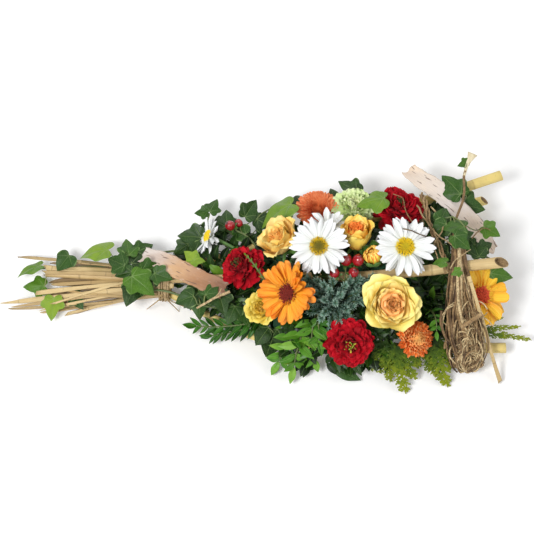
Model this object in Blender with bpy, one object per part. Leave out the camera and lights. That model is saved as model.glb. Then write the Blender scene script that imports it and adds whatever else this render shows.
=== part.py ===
"""A cornucopia flower arrangement: a horn of long canes tied at the tail, lying on its side.

Behind the tie the canes spread over a low tray, whose foam brick holds every flower and
sprig by its stem. A hank of vine lies over the horn's mouth, and two strips of bark lie
over the canes. +X runs along the horn to its mouth and +Y to its back, and the origin is
on the underside of the tray, at its centre. Places are in millimetres, turned to metres
by at().
"""

import math

import bmesh
import bpy
from mathutils import Vector

MM = 0.001
GAP = 0.0004  # between a stem and the wall of its hole

# Driving dimensions, in metres
TRAY_SIZE = Vector((0.194, 0.090, 0.022))
TRAY_WALL = 0.002
FOAM_SIZE = Vector((0.186, 0.082, 0.057))
FOAM_FLOOR = TRAY_WALL + 0.0004
TIE_CENTRE = Vector((-0.235, 0.020, 0.0268))
TIE_RADIUS = 0.0232
TIE_LENGTH = 0.014
STEM_RADIUS = 0.0021
STEM_SIDES = 6
TWIG_SIDES = 5
LEAF_THICKNESS = 0.0011

# Heads, as (height, radius, petals) rings in parts of the head's radius. Height is
# measured from the face, and a ring with petals has a point for each tip and notch.
DAISY = ((-0.28, 0.09, 0), (-0.20, 0.25, 0), (-0.03, 1.0, 12), (0.03, 1.0, 12),
         (0.00, 0.28, 0), (0.12, 0.22, 0), (0.16, 0.08, 0))
GERBERA = ((-0.34, 0.10, 0), (-0.24, 0.26, 0), (-0.06, 1.0, 12), (0.03, 1.0, 12),
           (-0.02, 0.30, 0), (0.05, 0.24, 0), (0.04, 0.08, 0))
ROSE = ((-1.15, 0.16, 0), (-0.95, 0.42, 0), (-0.55, 0.82, 0), (-0.15, 1.0, 5),
        (0.05, 0.86, 5), (0.20, 0.50, 0), (0.16, 0.12, 0))
ZINNIA = ((-0.55, 0.12, 0), (-0.42, 0.40, 0), (-0.22, 1.0, 9), (0.00, 0.98, 9),
          (0.20, 0.62, 0), (0.30, 0.24, 0), (0.30, 0.08, 0))
MUM = ((-0.55, 0.14, 0), (-0.40, 0.55, 0), (-0.15, 1.0, 9), (0.12, 0.90, 9),
       (0.38, 0.45, 0), (0.42, 0.12, 0))
BUD = ((-1.60, 0.25, 0), (-1.30, 0.70, 0), (-0.60, 1.0, 0), (0.20, 0.78, 0),
       (0.75, 0.30, 0), (0.85, 0.10, 0))

# Half outlines of leaves, as (along, across) in parts of the leaf's length
IVY = ((0.02, 0.05), (0.00, 0.30), (0.30, 0.46), (0.46, 0.26), (1.00, 0.02))
OVAL = ((0.02, 0.05), (0.42, 0.28), (1.00, 0.02))
BLADE = ((0.02, 0.04), (0.35, 0.13), (1.00, 0.01))


def at(x, y, z):
    return Vector((x, y, z)) * MM


def finish(name, colour, roughness):
    material = bpy.data.materials.new(name)
    material.use_nodes = True
    shader = material.node_tree.nodes["Principled BSDF"]
    shader.inputs["Base Color"].default_value = (*colour, 1)
    shader.inputs["Roughness"].default_value = roughness
    shader.inputs["Metallic"].default_value = 0
    return material


def solid(name, bm, material, origin=Vector()):
    """Makes a bmesh, modelled in place, into an object whose own origin is at origin."""
    bmesh.ops.triangulate(bm, faces=bm.faces[:])
    bmesh.ops.recalc_face_normals(bm, faces=bm.faces[:])
    bmesh.ops.translate(bm, verts=bm.verts[:], vec=-origin)
    mesh = bpy.data.meshes.new(name)
    bm.to_mesh(mesh)
    bm.free()
    mesh.materials.append(material)
    obj = bpy.data.objects.new(name, mesh)
    obj.location = origin
    obj.parent = arrangement
    bpy.context.scene.collection.objects.link(obj)
    return obj


def helper(obj):
    """Keeps a cutter or an operand out of the model."""
    obj.hide_render = True
    obj.display_type = "WIRE"


def combine(obj, other, operation, solver):
    boolean = obj.modifiers.new(operation.lower(), "BOOLEAN")
    boolean.operation = operation
    boolean.solver = solver
    boolean.object = other
    helper(other)


def graft(stem, number, bm):
    """Joins a closed piece to a stem. Thin blades that nearly touch need the MANIFOLD solver."""
    piece = solid(f"{stem.name}_graft_{number}", bm, stem.data.materials[0], stem.location)
    combine(stem, piece, "UNION", "MANIFOLD")


# Rings and lofts


def ring(bm, centre, side, other, radii):
    """A ring of points, with one radius for each, in the plane of side and other."""
    points = []
    for number, radius in enumerate(radii):
        turn = 2 * math.pi * number / len(radii)
        spoke = side * math.cos(turn) + other * math.sin(turn)
        points.append(bm.verts.new(centre + spoke * radius))
    return points


def lace(bm, low, high):
    """Joins two rings, whose numbers of points may differ, by a band of triangles."""
    i = j = 0
    while i < len(low) or j < len(high):
        here, there = low[i % len(low)], high[j % len(high)]
        low_next = (i + 1) / len(low)
        high_next = (j + 1) / len(high)
        if j == len(high) or (i < len(low) and low_next <= high_next):
            bm.faces.new((here, low[(i + 1) % len(low)], there))
            i += 1
        else:
            bm.faces.new((here, high[(j + 1) % len(high)], there))
            j += 1


def loft(bm, rings):
    for low, high in zip(rings, rings[1:]):
        lace(bm, low, high)
    bm.faces.new(rings[0][::-1])
    bm.faces.new(rings[-1])


def smooth(points, steps):
    """Points along one smooth curve through the given ones, with steps to each stretch."""
    route = []
    ends = [2 * points[0] - points[1], *points, 2 * points[-1] - points[-2]]
    for a, b, c, d in zip(ends, ends[1:], ends[2:], ends[3:]):
        for step in range(steps):
            t = step / steps
            route.append(0.5 * (2 * b + (c - a) * t + (2 * a - 5 * b + 4 * c - d) * t * t
                                + (3 * b - a - 3 * c + d) * t ** 3))
    return [*route, points[-1].copy()]


def headings(points):
    ends = [points[0], *points, points[-1]]
    return [(after - before).normalized() for before, after in zip(ends, ends[2:])]


def square_to(heading, guess):
    return (guess - heading * guess.dot(heading)).normalized()


def tube(bm, points, radii, sides, guess=Vector((0, 0, 1))):
    """A closed tube along points, with one radius for each, swept without twist."""
    rings = []
    side = guess
    for point, heading, radius in zip(points, headings(points), radii):
        side = square_to(heading, side)
        rings.append(ring(bm, point, side, heading.cross(side), [radius] * sides))
    loft(bm, rings)


def band(bm, stations):
    """A closed strip. A station is (centre, up, half width, half thickness)."""
    rings = []
    points = [station[0] for station in stations]
    for heading, (centre, up, half_width, half_thickness) in zip(headings(points), stations):
        rise = square_to(heading, up) * half_thickness
        reach = square_to(heading, up).cross(heading) * half_width
        corners = (rise + reach, rise - reach, -rise - reach, -rise + reach)
        rings.append([bm.verts.new(centre + corner) for corner in corners])
    loft(bm, rings)


def taper(first, last, count):
    return [first + (last - first) * step / (count - 1) for step in range(count)]


# Stems and their holes

holes = bmesh.new()


def plant(root, leave, radius=STEM_RADIUS):
    """Drills the hole for a stem that stands on root and leaves the foam by leave."""
    way = (leave - root).normalized()
    wide = (radius + GAP) / math.cos(math.pi / STEM_SIDES)
    tube(holes, [root - way * GAP, leave + way * 0.004], [wide] * 2, STEM_SIDES)
    return way


def bend(start, start_way, end, end_way, steps):
    """Points of a stem that leaves start one way and comes to end by another."""
    reach = (end - start).length * 0.38
    a, b = start + start_way * reach, end - end_way * reach
    points = []
    for step in range(steps + 1):
        t = step / steps
        points.append(start * (1 - t) ** 3 + a * 3 * t * (1 - t) ** 2
                      + b * 3 * t * t * (1 - t) + end * t ** 3)
    return points


def flower(name, head, radius, root, leave, face, facing, material):
    """A flower in one piece: its stem from root, by leave, and its head round face."""
    root, leave, face = at(*root), at(*leave), at(*face)
    facing = Vector(facing).normalized()
    radius *= MM
    way = plant(root, leave)
    neck = face + facing * (head[0][0] - 0.12) * radius
    stem = [root, *bend(leave, way, neck, facing, 5)]
    bm = bmesh.new()
    rings = []
    side = Vector((0, 0, 1))
    for point, heading in zip(stem, headings(stem)):
        side = square_to(heading, side)
        rings.append(ring(bm, point, side, heading.cross(side), [STEM_RADIUS] * STEM_SIDES))
    side = square_to(facing, side)
    other = facing.cross(side)
    for height, wide, petals in head:
        centre = face + facing * height * radius
        if petals:
            radii = [wide * radius, wide * radius * 0.84] * petals
        else:
            radii = [wide * radius] * (STEM_SIDES if wide < 0.2 else 10)
        rings.append(ring(bm, centre, side, other, radii))
    loft(bm, rings)
    return solid(name, bm, material, root)


# Leaves and sprigs


def leaf(bm, start, base, tip, up, half):
    """A flat leaf: a stalk from start to base, and a blade from there to tip."""
    heading = (tip - base).normalized()
    length = (tip - base).length
    rise = square_to(heading, up)
    across = heading.cross(rise)
    stalk = 0.0009
    outline = [start + across * stalk]
    outline += [base + (heading * x + across * y) * length for x, y in half]
    outline += [base + (heading * x - across * y) * length for x, y in half[::-1]]
    outline += [start - across * stalk]
    thick = rise * LEAF_THICKNESS / 2
    top = [bm.verts.new(point + thick) for point in outline]
    under = [bm.verts.new(point - thick) for point in outline]
    bm.faces.new(top)
    bm.faces.new(under[::-1])
    for number in range(len(outline)):
        after = (number + 1) % len(outline)
        bm.faces.new((top[number], under[number], under[after], top[after]))


def sprig(name, route, radii, leaves, material, planted=True, steps=2):
    """A stem along route with leaves joined to it. Its first stretch may be planted.

    A leaf is (tip, length, half outline, up), with its base on the nearest part of the stem.
    """
    route = [at(*point) for point in route]
    if planted:
        plant(route[0], route[1], radii[0] * MM)
        points = [route[0], *smooth(route[1:], steps)]
    else:
        points = smooth(route, steps)
    bm = bmesh.new()
    tube(bm, points, taper(radii[0] * MM, radii[1] * MM, len(points)), STEM_SIDES)
    stem = solid(name, bm, material, route[0])
    if not leaves:
        return stem
    free = points[2:] if planted else points[1:]
    free[-1] = free[-1] + (free[-2] - free[-1]).normalized() * 0.0006
    for number, (tip, length, half, up) in enumerate(leaves):
        tip, up = at(*tip), Vector(up)
        # No two stalks share a plane, so that the union stays clean
        shift = up.normalized() * (number % 5 - 2) * 0.00036
        start = min(free, key=lambda point: (point - tip).length) + shift
        base = tip + (start - tip).normalized() * min(length * MM, (start - tip).length)
        blade = bmesh.new()
        leaf(blade, start, base, tip, up, half)
        graft(stem, number, blade)
    return stem


def paired(route, count, length, half, first=0.3, lean=0.75, up=(0, -0.3, 1), turn=0.0):
    """Leaves in pairs to either side of a route, as sprig takes them."""
    points = smooth([at(*point) for point in route], 8)
    ways = headings(points)
    leaves = []
    for number in range(count):
        t = first + (1 - first) * (number + 0.5) / count
        spot = min(int(t * (len(points) - 1)), len(points) - 1)
        rise = square_to(ways[spot], Vector(up))
        across = ways[spot].cross(rise)
        across = across * math.cos(turn) + rise * math.sin(turn)
        size = length * (1 - 0.35 * number / count)
        for hand in (1, -1):
            tip = points[spot] + (ways[spot] * (1 - lean) + across * hand * lean).normalized() * size * MM
            leaves.append((tuple(tip / MM), size, half, up))
    leaves.append((tuple((points[-1] + ways[-1] * length * 0.8 * MM) / MM), length * 0.8, half, up))
    return leaves


def clear_scene():
    for obj in list(bpy.data.objects):
        bpy.data.objects.remove(obj, do_unlink=True)


# The model

clear_scene()
arrangement = bpy.data.objects.new("arrangement", None)
bpy.context.scene.collection.objects.link(arrangement)

tray_green = finish("tray_plastic", (0.012, 0.05, 0.02), 0.5)
foam_green = finish("wet_foam", (0.03, 0.13, 0.06), 0.9)
cane_straw = finish("cane", (0.56, 0.42, 0.20), 0.55)
reed_straw = finish("split_reed", (0.62, 0.47, 0.24), 0.6)
raffia_tan = finish("raffia", (0.50, 0.36, 0.18), 0.8)
vine_brown = finish("vine", (0.27, 0.18, 0.10), 0.85)
bark_pale = finish("birch_bark", (0.80, 0.68, 0.58), 0.7)
leaf_dark = finish("ivy_leaf", (0.04, 0.14, 0.03), 0.4)
leaf_bright = finish("boxwood_leaf", (0.12, 0.30, 0.04), 0.4)
leaf_olive = finish("thuja_leaf", (0.17, 0.24, 0.03), 0.6)
leaf_blue = finish("juniper_leaf", (0.05, 0.17, 0.11), 0.6)
daisy_white = finish("daisy_petal", (0.88, 0.89, 0.86), 0.6)
gerbera_orange = finish("gerbera_orange_petal", (0.90, 0.30, 0.02), 0.6)
gerbera_yellow = finish("gerbera_yellow_petal", (0.95, 0.55, 0.02), 0.6)
rose_yellow = finish("rose_yellow_petal", (0.92, 0.66, 0.18), 0.6)
rose_apricot = finish("rose_apricot_petal", (0.84, 0.52, 0.18), 0.6)
zinnia_red = finish("zinnia_petal", (0.45, 0.0, 0.02), 0.7)
mum_coral = finish("mum_petal", (0.78, 0.12, 0.03), 0.65)
pale_green = finish("carnation_petal", (0.55, 0.70, 0.30), 0.7)
berry_red = finish("berry_skin", (0.60, 0.12, 0.03), 0.25)


def make_tray():
    bm = bmesh.new()
    bmesh.ops.create_cube(bm, size=1)
    bmesh.ops.scale(bm, verts=bm.verts[:], vec=TRAY_SIZE)
    bmesh.ops.translate(bm, verts=bm.verts[:], vec=(0, 0, TRAY_SIZE.z / 2))
    top = max(bm.faces, key=lambda face: face.calc_center_median().z)
    bmesh.ops.inset_region(bm, faces=[top], thickness=TRAY_WALL)
    well = bmesh.ops.extrude_discrete_faces(bm, faces=[top])["faces"][0]
    bmesh.ops.translate(bm, verts=well.verts[:], vec=(0, 0, TRAY_WALL - TRAY_SIZE.z))
    solid("tray", bm, tray_green)


def make_foam():
    bm = bmesh.new()
    bmesh.ops.create_cube(bm, size=1)
    bmesh.ops.scale(bm, verts=bm.verts[:], vec=FOAM_SIZE)
    bmesh.ops.translate(bm, verts=bm.verts[:], vec=(0, 0, FOAM_FLOOR + FOAM_SIZE.z / 2))
    foam = solid("foam_brick", bm, foam_green)
    combine(foam, solid("foam_drill", holes, foam_green), "DIFFERENCE", "EXACT")


def make_tie():
    bm = bmesh.new()
    rings = []
    count = 20
    for number in range(count):
        turn = 2 * math.pi * number / count
        spoke = Vector((0, math.cos(turn), math.sin(turn)))
        centre = TIE_CENTRE + spoke * TIE_RADIUS
        half_length, half_thickness = TIE_LENGTH / 2, 0.0013
        corners = ((half_length, 0), (0, half_thickness), (-half_length, 0), (0, -half_thickness))
        rings.append([bm.verts.new(centre + Vector((x, 0, 0)) + spoke * r) for x, r in corners])
    for low, high in zip(rings, rings[1:] + rings[:1]):
        lace(bm, low, high)
    solid("raffia_tie", bm, raffia_tan)


def cane(name, route, radii):
    """A hollow cane, thick at the mouth of the horn, with a pith hole at that end."""
    points = smooth([at(*point) for point in route], 3)
    radii = taper(radii[0] * MM, radii[1] * MM, len(points))
    bm = bmesh.new()
    rings = []
    side = Vector((0, 0, 1))
    for point, heading, radius in zip(points, headings(points), radii):
        side = square_to(heading, side)
        rings.append(ring(bm, point, side, heading.cross(side), [radius] * 10))
    bore = radii[-1] * 0.62
    for depth in (0, 0.008):
        centre = points[-1] - heading * depth
        rings.append(ring(bm, centre, side, heading.cross(side), [bore] * 10))
    loft(bm, rings)
    solid(name, bm, cane_straw)


def reed(name, route, half_width, material=reed_straw, up=(0, 0, 1), half_thickness=1.1):
    points = smooth([at(*point) for point in route], 3)
    bm = bmesh.new()
    half = half_thickness * MM
    band(bm, [(point, Vector(up), half_width * MM, half) for point in points])
    solid(name, bm, material)


def ribbon(name, stations):
    """A strip of bark. A station is (x, y, z, half width, lean of its face across)."""
    centres = smooth([at(*station[:3]) for station in stations], 3)
    wide = smooth([Vector(station[3:] + (0,)) for station in stations], 3)
    bm = bmesh.new()
    band(bm, [(centre, Vector((0, shape.y, 1)), shape.x * MM, 0.0006)
              for centre, shape in zip(centres, wide)])
    solid(name, bm, bark_pale)


def hank(name, stations, material):
    """A closed flattened bundle. A station is (x, y, z, half width, half thickness)."""
    centres = smooth([at(*station[:3]) for station in stations], 2)
    shapes = smooth([Vector(station[3:] + (0,)) for station in stations], 2)
    bm = bmesh.new()
    rings = []
    for centre, heading, shape in zip(centres, headings(centres), shapes):
        up = square_to(heading, Vector((0.15, -0.5, 1)))
        side = heading.cross(up) * shape.x * MM
        rings.append(ring(bm, centre, side, up * shape.y * MM, [1] * 10))
    loft(bm, rings)
    solid(name, bm, material)


make_tray()
make_tie()

# Canes run from the tie, or the tail beyond it, to the mouth
cane("cane_over_top", ((-392, 34, 25), (-235, 20, 40), (-90, 11, 69), (28, 4, 88), (198, 11, 115)),
     (4.0, 7.4))
cane("cane_back_high", ((-246, 29, 29), (-235, 30, 30), (-115, 66, 42), (0, 92, 47), (211, 162, 60)),
     (4.0, 7.0))
cane("cane_back_low", ((-252, 27, 18), (-235, 29, 19), (-110, 66, 21), (0, 90, 18), (193, 146, 18)),
     (4.0, 6.5))
cane("cane_front", ((-252, 13, 21), (-235, 11, 21), (-165, -29, 20), (-90, -58, 19), (60, -67, 19),
     (207, -68, 20)), (4.0, 6.6))

# Split reeds of the tail, each flat against the inside of the tie
reed("tail_reed_back", ((-222, 30, 43), (-250, 31, 43), (-330, 46, 32), (-430, 62, 18)), 4.2,
     up=(0, 0.55, 0.84))
reed("tail_reed_long", ((-222, 9.5, 43), (-250, 9, 42), (-330, 5, 30), (-449, -2, 11)), 3.2,
     up=(0, -0.55, 0.84))
reed("tail_reed_side", ((-228, 0.8, 30), (-250, 0.4, 29), (-330, -6, 20), (-438, -9, 9)), 2.8,
     up=(0, -1, 0.05))
reed("tail_reed_low", ((-222, 12, 8.3), (-250, 10, 8.4), (-320, -1, 8), (-395, -13, 5.5)), 3.4,
     up=(0, 0.38, 0.93))
reed("tail_reed_short", ((-222, 26, 7.8), (-250, 20, 6.0), (-310, 3, 3.4), (-362, -14, 2.6)), 2.8,
     up=(0, -0.25, 0.97))

ribbon("bark_strip_left", ((-268, 59, 42, 12, 0.2), (-236, 39, 56, 13, 0.1), (-200, 17, 60, 13, 0.0),
                           (-153, -8, 66, 13, -0.1)))
ribbon("bark_strip_right", ((83, 170, 66, 9, 0.0), (101, 147, 73, 12, 0.1), (126, 127, 75, 13, 0.2),
                            (159, 95, 69, 14, 0.2), (177, 74, 62, 14, 0.1), (189, 49, 55, 11, 0.0)))

hank("vine_bundle", ((143, 58, 114, 8, 5), (142, 6, 124, 11, 6), (147, -36, 106, 15, 8),
                     (157, -75, 62, 24, 9), (166, -99, 18, 20, 9), (169, -112, 10, 9, 4)), vine_brown)
hank("grey_vine", ((101, 122, 84, 2.4, 2.4), (103, 100, 100, 2.4, 2.4), (106, 62, 113, 2.4, 2.4),
                   (118, 22, 120, 2.0, 2.0), (122, -6, 118, 1.6, 1.6)), vine_brown)
hank("pale_tendril", ((137, 66, 108, 1.6, 1.6), (150, 100, 112, 1.6, 1.6), (153, 132, 112, 1.8, 1.8),
                      (158, 148, 112, 2.0, 1.8), (166, 166, 112, 7.0, 2.2)), vine_brown)
hank("bare_twig", ((-198, -20, 42, 1.6, 1.6), (-176, -14, 68, 1.8, 1.8), (-154, -12, 84, 1.8, 1.8)),
     vine_brown)
reed("loose_reed", ((158, -40, 117), (166, -62, 92), (186, -98, 42), (199, -113, 8)), 2.8,
     up=(0.2, -0.6, 0.8))
sprig("woody_stub", ((76, 24, 36), (81, 27, 66), (94, 60, 78), (104, 106, 76)), (3.2, 4.4), (), vine_brown)

# Flowers
flower("daisy_center", DAISY, 43, (-40, 27, 36), (-39, 27, 66), (-37, 27, 140), (-0.03, -0.30, 0.95),
       daisy_white)
flower("daisy_right", DAISY, 38, (58, 22, 36), (60, 23, 66), (69, 24, 136), (0.12, -0.28, 0.95), daisy_white)
flower("daisy_back", DAISY, 26, (-22, 31, 36), (-22, 35, 66), (-22, 67, 107), (0.10, 0.12, 0.98), daisy_white)
flower("daisy_side", DAISY, 26, (-72, 24, 40), (-98, 32, 49), (-178, 72, 62), (-0.93, 0.25, 0.25), daisy_white)
flower("gerbera_left", GERBERA, 41, (-58, -20, 34), (-62, -22, 66), (-81, -35, 122), (-0.42, -0.30, 0.85),
       gerbera_orange)
flower("gerbera_right", GERBERA, 38, (66, -10, 42), (98, -11, 50), (172, -18, 76), (0.50, -0.28, 0.82),
       gerbera_yellow)
flower("rose_big", ROSE, 36, (40, -20, 34), (42, -23, 66), (50, -54, 134), (0.05, -0.36, 0.93), rose_yellow)
flower("rose_apricot", ROSE, 25, (-68, 22, 34), (-71, 25, 66), (-94, 52, 112), (-0.62, 0.30, 0.72),
       rose_apricot)
flower("rose_small", ROSE, 19, (10, 26, 36), (10, 28, 66), (10, 42, 128), (0.0, 0.25, 0.97), rose_yellow)
flower("spray_rose", ROSE, 19, (-70, -26, 40), (-97, -32, 52), (-112, -37, 84), (-0.35, -0.25, 0.90),
       rose_yellow)
flower("yellow_bud", BUD, 9, (30, 30, 36), (31, 28, 66), (32, 19, 120), (0.1, -0.1, 0.99), rose_yellow)
flower("zinnia_left", ZINNIA, 31, (-66, -5, 38), (-82, -6, 66), (-134, 8, 94), (-0.45, 0.05, 0.89), zinnia_red)
flower("zinnia_back", ZINNIA, 28, (46, 30, 36), (49, 35, 66), (71, 97, 96), (0.10, 0.25, 0.96), zinnia_red)
flower("zinnia_front", ZINNIA, 32, (6, -22, 36), (6, -30, 66), (2, -86, 84), (0.0, -0.55, 0.83), zinnia_red)
flower("mum_back", MUM, 25, (-46, 29, 36), (-47, 35, 66), (-40, 102, 86), (0.0, 0.45, 0.90), mum_coral)
flower("mum_front", MUM, 23, (62, -22, 36), (64, -28, 66), (83, -77, 78), (0.15, -0.35, 0.92), mum_coral)
flower("green_carnation", MUM, 19, (0, 31, 36), (1, 37, 66), (6, 99, 98), (0.05, 0.30, 0.95), pale_green)


def berries(name, route, radii, balls, material):
    """A stalk that branches to a few berries, joined in one piece."""
    stem = sprig(name, route, radii, (), material)
    points = smooth([at(*point) for point in route[1:]], 2)
    for number, (x, y, z, radius) in enumerate(balls):
        centre = at(x, y, z)
        start = min(points[1:-1], key=lambda point: (point - centre).length)
        heading = (centre - start).normalized()
        bm = bmesh.new()
        side = square_to(heading, Vector((0.3, 1, 0.2)))
        rings = [ring(bm, start, side, heading.cross(side), [0.0009] * TWIG_SIDES)]
        for turn in (168, 130, 90, 50, 14):
            height = radius * MM * math.cos(math.radians(turn))
            wide = radius * MM * math.sin(math.radians(turn))
            rings.append(ring(bm, centre + heading * height, side, heading.cross(side), [wide] * 8))
        loft(bm, rings)
        graft(stem, number, bm)


berries("hypericum_center", ((0, -14, 36), (0, -14, 66), (-2, -10, 92), (-3, -6, 108)), (1.8, 1.4),
        ((-3, 8, 116, 7.5), (14, 2, 118, 7.5), (-18, -8, 112, 6), (7, -12, 114, 6.5)), berry_red)
berries("hypericum_left", ((-78, 28, 30), (-99, 45, 42), (-125, 72, 56), (-140, 80, 60)), (1.8, 1.4),
        ((-149, 84, 68, 6.5), (-138, 92, 58, 5.5)), berry_red)

UP = (0, -0.3, 1)


def ivy(name, route, leaves, planted=False, radii=(1.7, 1.4)):
    """A trail of ivy. A leaf is (x, y, z, length) or, turned, (x, y, z, length, up)."""
    tips = []
    for leaf_at in leaves:
        up = leaf_at[4] if len(leaf_at) > 4 else UP
        tips.append((leaf_at[:3], leaf_at[3], IVY, up))
    sprig(name, route, radii, tips, leaf_dark, planted)


ivy("ivy_tail_back", ((-212, 62, 52), (-250, 62, 50), (-300, 56, 46), (-350, 50, 38), (-400, 46, 30)),
    ((-268, 76, 52, 20), (-282, 44, 54, 22), (-338, 78, 40, 36), (-366, 38, 38, 24), (-422, 34, 32, 20)))
ivy("ivy_tail_front", ((-206, -8, 52), (-240, 2, 58), (-290, 14, 50), (-345, 14, 42), (-392, 12, 32)),
    ((-262, -16, 56, 30), (-252, 26, 64, 24), (-302, 32, 54, 24), (-352, -16, 34, 28), (-380, -20, 24, 24)))
ivy("ivy_left", ((-76, -12, 40), (-97, -15, 46), (-130, -24, 50), (-165, -26, 54), (-190, -25, 64)),
    ((-210, -8, 76, 30), (-176, 10, 88, 24), (-194, -38, 44, 24), (-160, -46, 54, 24)), planted=True)
ivy("ivy_back_left", ((-130, 70, 46), (-160, 92, 42), (-190, 98, 43), (-216, 90, 46)),
    ((-228, 104, 52, 24), (-150, 120, 50, 26), (-198, 70, 60, 18)))
ivy("ivy_back", ((-56, 26, 38), (-60, 45, 48), (-72, 76, 62), (-88, 98, 68), (-98, 110, 64)),
    ((-124, 118, 60, 24), (-64, 134, 60, 22), (-84, 122, 84, 34)), planted=True)
ivy("ivy_back_mid", ((24, 24, 34), (24, 45, 46), (27, 84, 62), (24, 116, 66), (14, 138, 58)),
    ((6, 158, 50, 26), (38, 110, 112, 24), (46, 128, 63, 24)), planted=True)
ivy("ivy_mouth_top", ((78, 22, 30), (97, 34, 38), (126, 76, 46), (150, 108, 54), (162, 128, 66)),
    ((132, 160, 76, 32), (192, 112, 70, 28), (152, 172, 88, 14)), planted=True)
ivy("ivy_mouth_mid", ((82, 10, 36), (92, 20, 66), (108, 48, 96), (120, 68, 114), (134, 72, 120)),
    ((154, 56, 132, 30), (102, 72, 120, 22), (158, 26, 138, 24), (206, 60, 92, 26)), planted=True)
ivy("ivy_under_cane", ((74, 4, 30), (98, 6, 36), (140, 20, 56), (172, 34, 78), (188, 30, 80)),
    ((214, 12, 66, 26), (172, 20, 100, 20), (190, 50, 80, 20)), planted=True)


def pairs_of(name, route, radii, count, length, half, material, **placing):
    sprig(name, route, radii, paired(route[1:], count, length, half, **placing), material)


pairs_of("boxwood_front", ((-50, -24, 30), (-51, -46, 38), (-53, -62, 34), (-57, -84, 23), (-60, -98, 12)),
         (1.6, 1.3), 4, 14, OVAL, leaf_bright)
pairs_of("boxwood_low", ((-30, -20, 34), (-31, -24, 66), (-37, -38, 79), (-36, -58, 71), (-34, -74, 58)),
         (1.6, 1.3), 4, 13, OVAL, leaf_bright)
pairs_of("boxwood_mid", ((84, -20, 34), (98, -25, 46), (107, -36, 68), (111, -52, 80), (112, -66, 74)),
         (1.6, 1.3), 4, 13, OVAL, leaf_bright)
pairs_of("boxwood_back", ((-20, 26, 28), (-22, 46, 32), (-24, 70, 32), (-26, 92, 31), (-30, 122, 24)),
         (1.6, 1.3), 3, 15, OVAL, leaf_bright, first=0.66)
pairs_of("hebe_left", ((-76, -20, 28), (-97, -24, 33), (-122, -40, 38), (-160, -44, 34), (-196, -39, 20)),
         (1.6, 1.3), 5, 16, OVAL, leaf_bright)
pairs_of("thuja_front", ((36, -24, 28), (38, -46, 36), (48, -76, 48), (62, -98, 31), (73, -113, 17)),
         (1.6, 1.3), 4, 26, BLADE, leaf_olive, lean=0.5)
pairs_of("thuja_front_right", ((72, -24, 28), (75, -46, 33), (95, -74, 38), (112, -96, 26), (122, -110, 14)),
         (1.6, 1.3), 4, 20, BLADE, leaf_olive, lean=0.5)
pairs_of("thuja_right", ((74, -16, 26), (98, -20, 34), (150, -36, 44), (190, -48, 46), (216, -54, 36)),
         (1.6, 1.3), 4, 26, BLADE, leaf_olive, lean=0.5, first=0.5)
pairs_of("thuja_back", ((52, 26, 28), (54, 46, 32), (60, 80, 33), (68, 114, 32), (76, 144, 18)),
         (1.6, 1.3), 3, 26, BLADE, leaf_olive, lean=0.5, first=0.7)
sprig("broad_leaf_left", ((-66, -24, 28), (-68, -46, 31), (-82, -54, 36), (-94, -60, 34)), (1.6, 1.2),
      (((-116, -86, 18), 34, OVAL, UP),), leaf_dark)
sprig("broad_leaf_front", ((-12, -24, 28), (-12, -46, 33), (-8, -70, 36), (-2, -88, 30)), (1.6, 1.2),
      (((18, -116, 12), 34, OVAL, UP), ((-24, -104, 18), 26, OVAL, UP)), leaf_dark)


def shoots(name, route, radii, tips, material):
    """A stem with tapered shoots, each the outline of a stalk thick with needles."""
    stem = sprig(name, route, radii, (), material)
    points = smooth([at(*point) for point in route[1:]], 2)
    for number, tip in enumerate(tips):
        tip = at(*tip)
        start = min(points[1:-1], key=lambda point: (point - tip).length)
        bm = bmesh.new()
        tube(bm, [start, start.lerp(tip, 0.3), start.lerp(tip, 0.75), tip],
             [0.001, 0.0042, 0.0036, 0.0006], TWIG_SIDES)
        graft(stem, number, bm)


shoots("juniper_sprig", ((-14, -20, 34), (-15, -24, 66), (-16, -30, 88), (-14, -36, 100)), (1.8, 1.2),
       ((-54, -24, 112), (-42, -6, 112), (-38, -44, 104), (-14, -54, 104), (8, -48, 98), (22, -34, 102)),
       leaf_blue)

make_foam()
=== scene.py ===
"""The looks of a cornucopia flower arrangement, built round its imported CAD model.

A horn of canes lies on its side on a table: its thin ends are tied over a fan of split
reeds, and its mouth opens over a brick of wet foam that holds flowers and foliage. The
file goes from the tray and the canes to the flowers, the greenery, the tail, the vine,
the bark, and the leaves that fill the gaps. +X is to the mouth, +Y to the back, +Z up.
Sizes are in metres, but places are in millimetres, which mm() turns into metres.
"""

import math
import random

import bpy
import numpy as np
from mathutils import Matrix, Vector


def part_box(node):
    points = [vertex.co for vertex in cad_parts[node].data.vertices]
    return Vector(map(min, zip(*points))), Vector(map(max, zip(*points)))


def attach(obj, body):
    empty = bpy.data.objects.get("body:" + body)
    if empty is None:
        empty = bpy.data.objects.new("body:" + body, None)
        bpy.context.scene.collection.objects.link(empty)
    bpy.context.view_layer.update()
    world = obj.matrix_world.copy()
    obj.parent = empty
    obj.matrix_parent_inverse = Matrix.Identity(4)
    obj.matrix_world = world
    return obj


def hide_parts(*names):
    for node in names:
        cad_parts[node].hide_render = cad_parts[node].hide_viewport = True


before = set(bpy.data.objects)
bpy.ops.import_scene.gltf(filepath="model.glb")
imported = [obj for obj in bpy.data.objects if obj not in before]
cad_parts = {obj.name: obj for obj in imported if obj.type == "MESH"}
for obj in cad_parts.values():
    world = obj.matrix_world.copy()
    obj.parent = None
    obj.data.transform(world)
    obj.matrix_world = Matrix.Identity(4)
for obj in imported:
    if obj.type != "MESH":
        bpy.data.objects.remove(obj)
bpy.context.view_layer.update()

# ---------------------------------------------------------------------------
# Table, light and camera. A pale table top with broad soft lamps above it, and
# a camera that looks down on the arrangement from the front.

SCENE = bpy.context.scene
SCENE.view_settings.view_transform = "Standard"
net = None  # The node tree in hand: put adds to it


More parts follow.
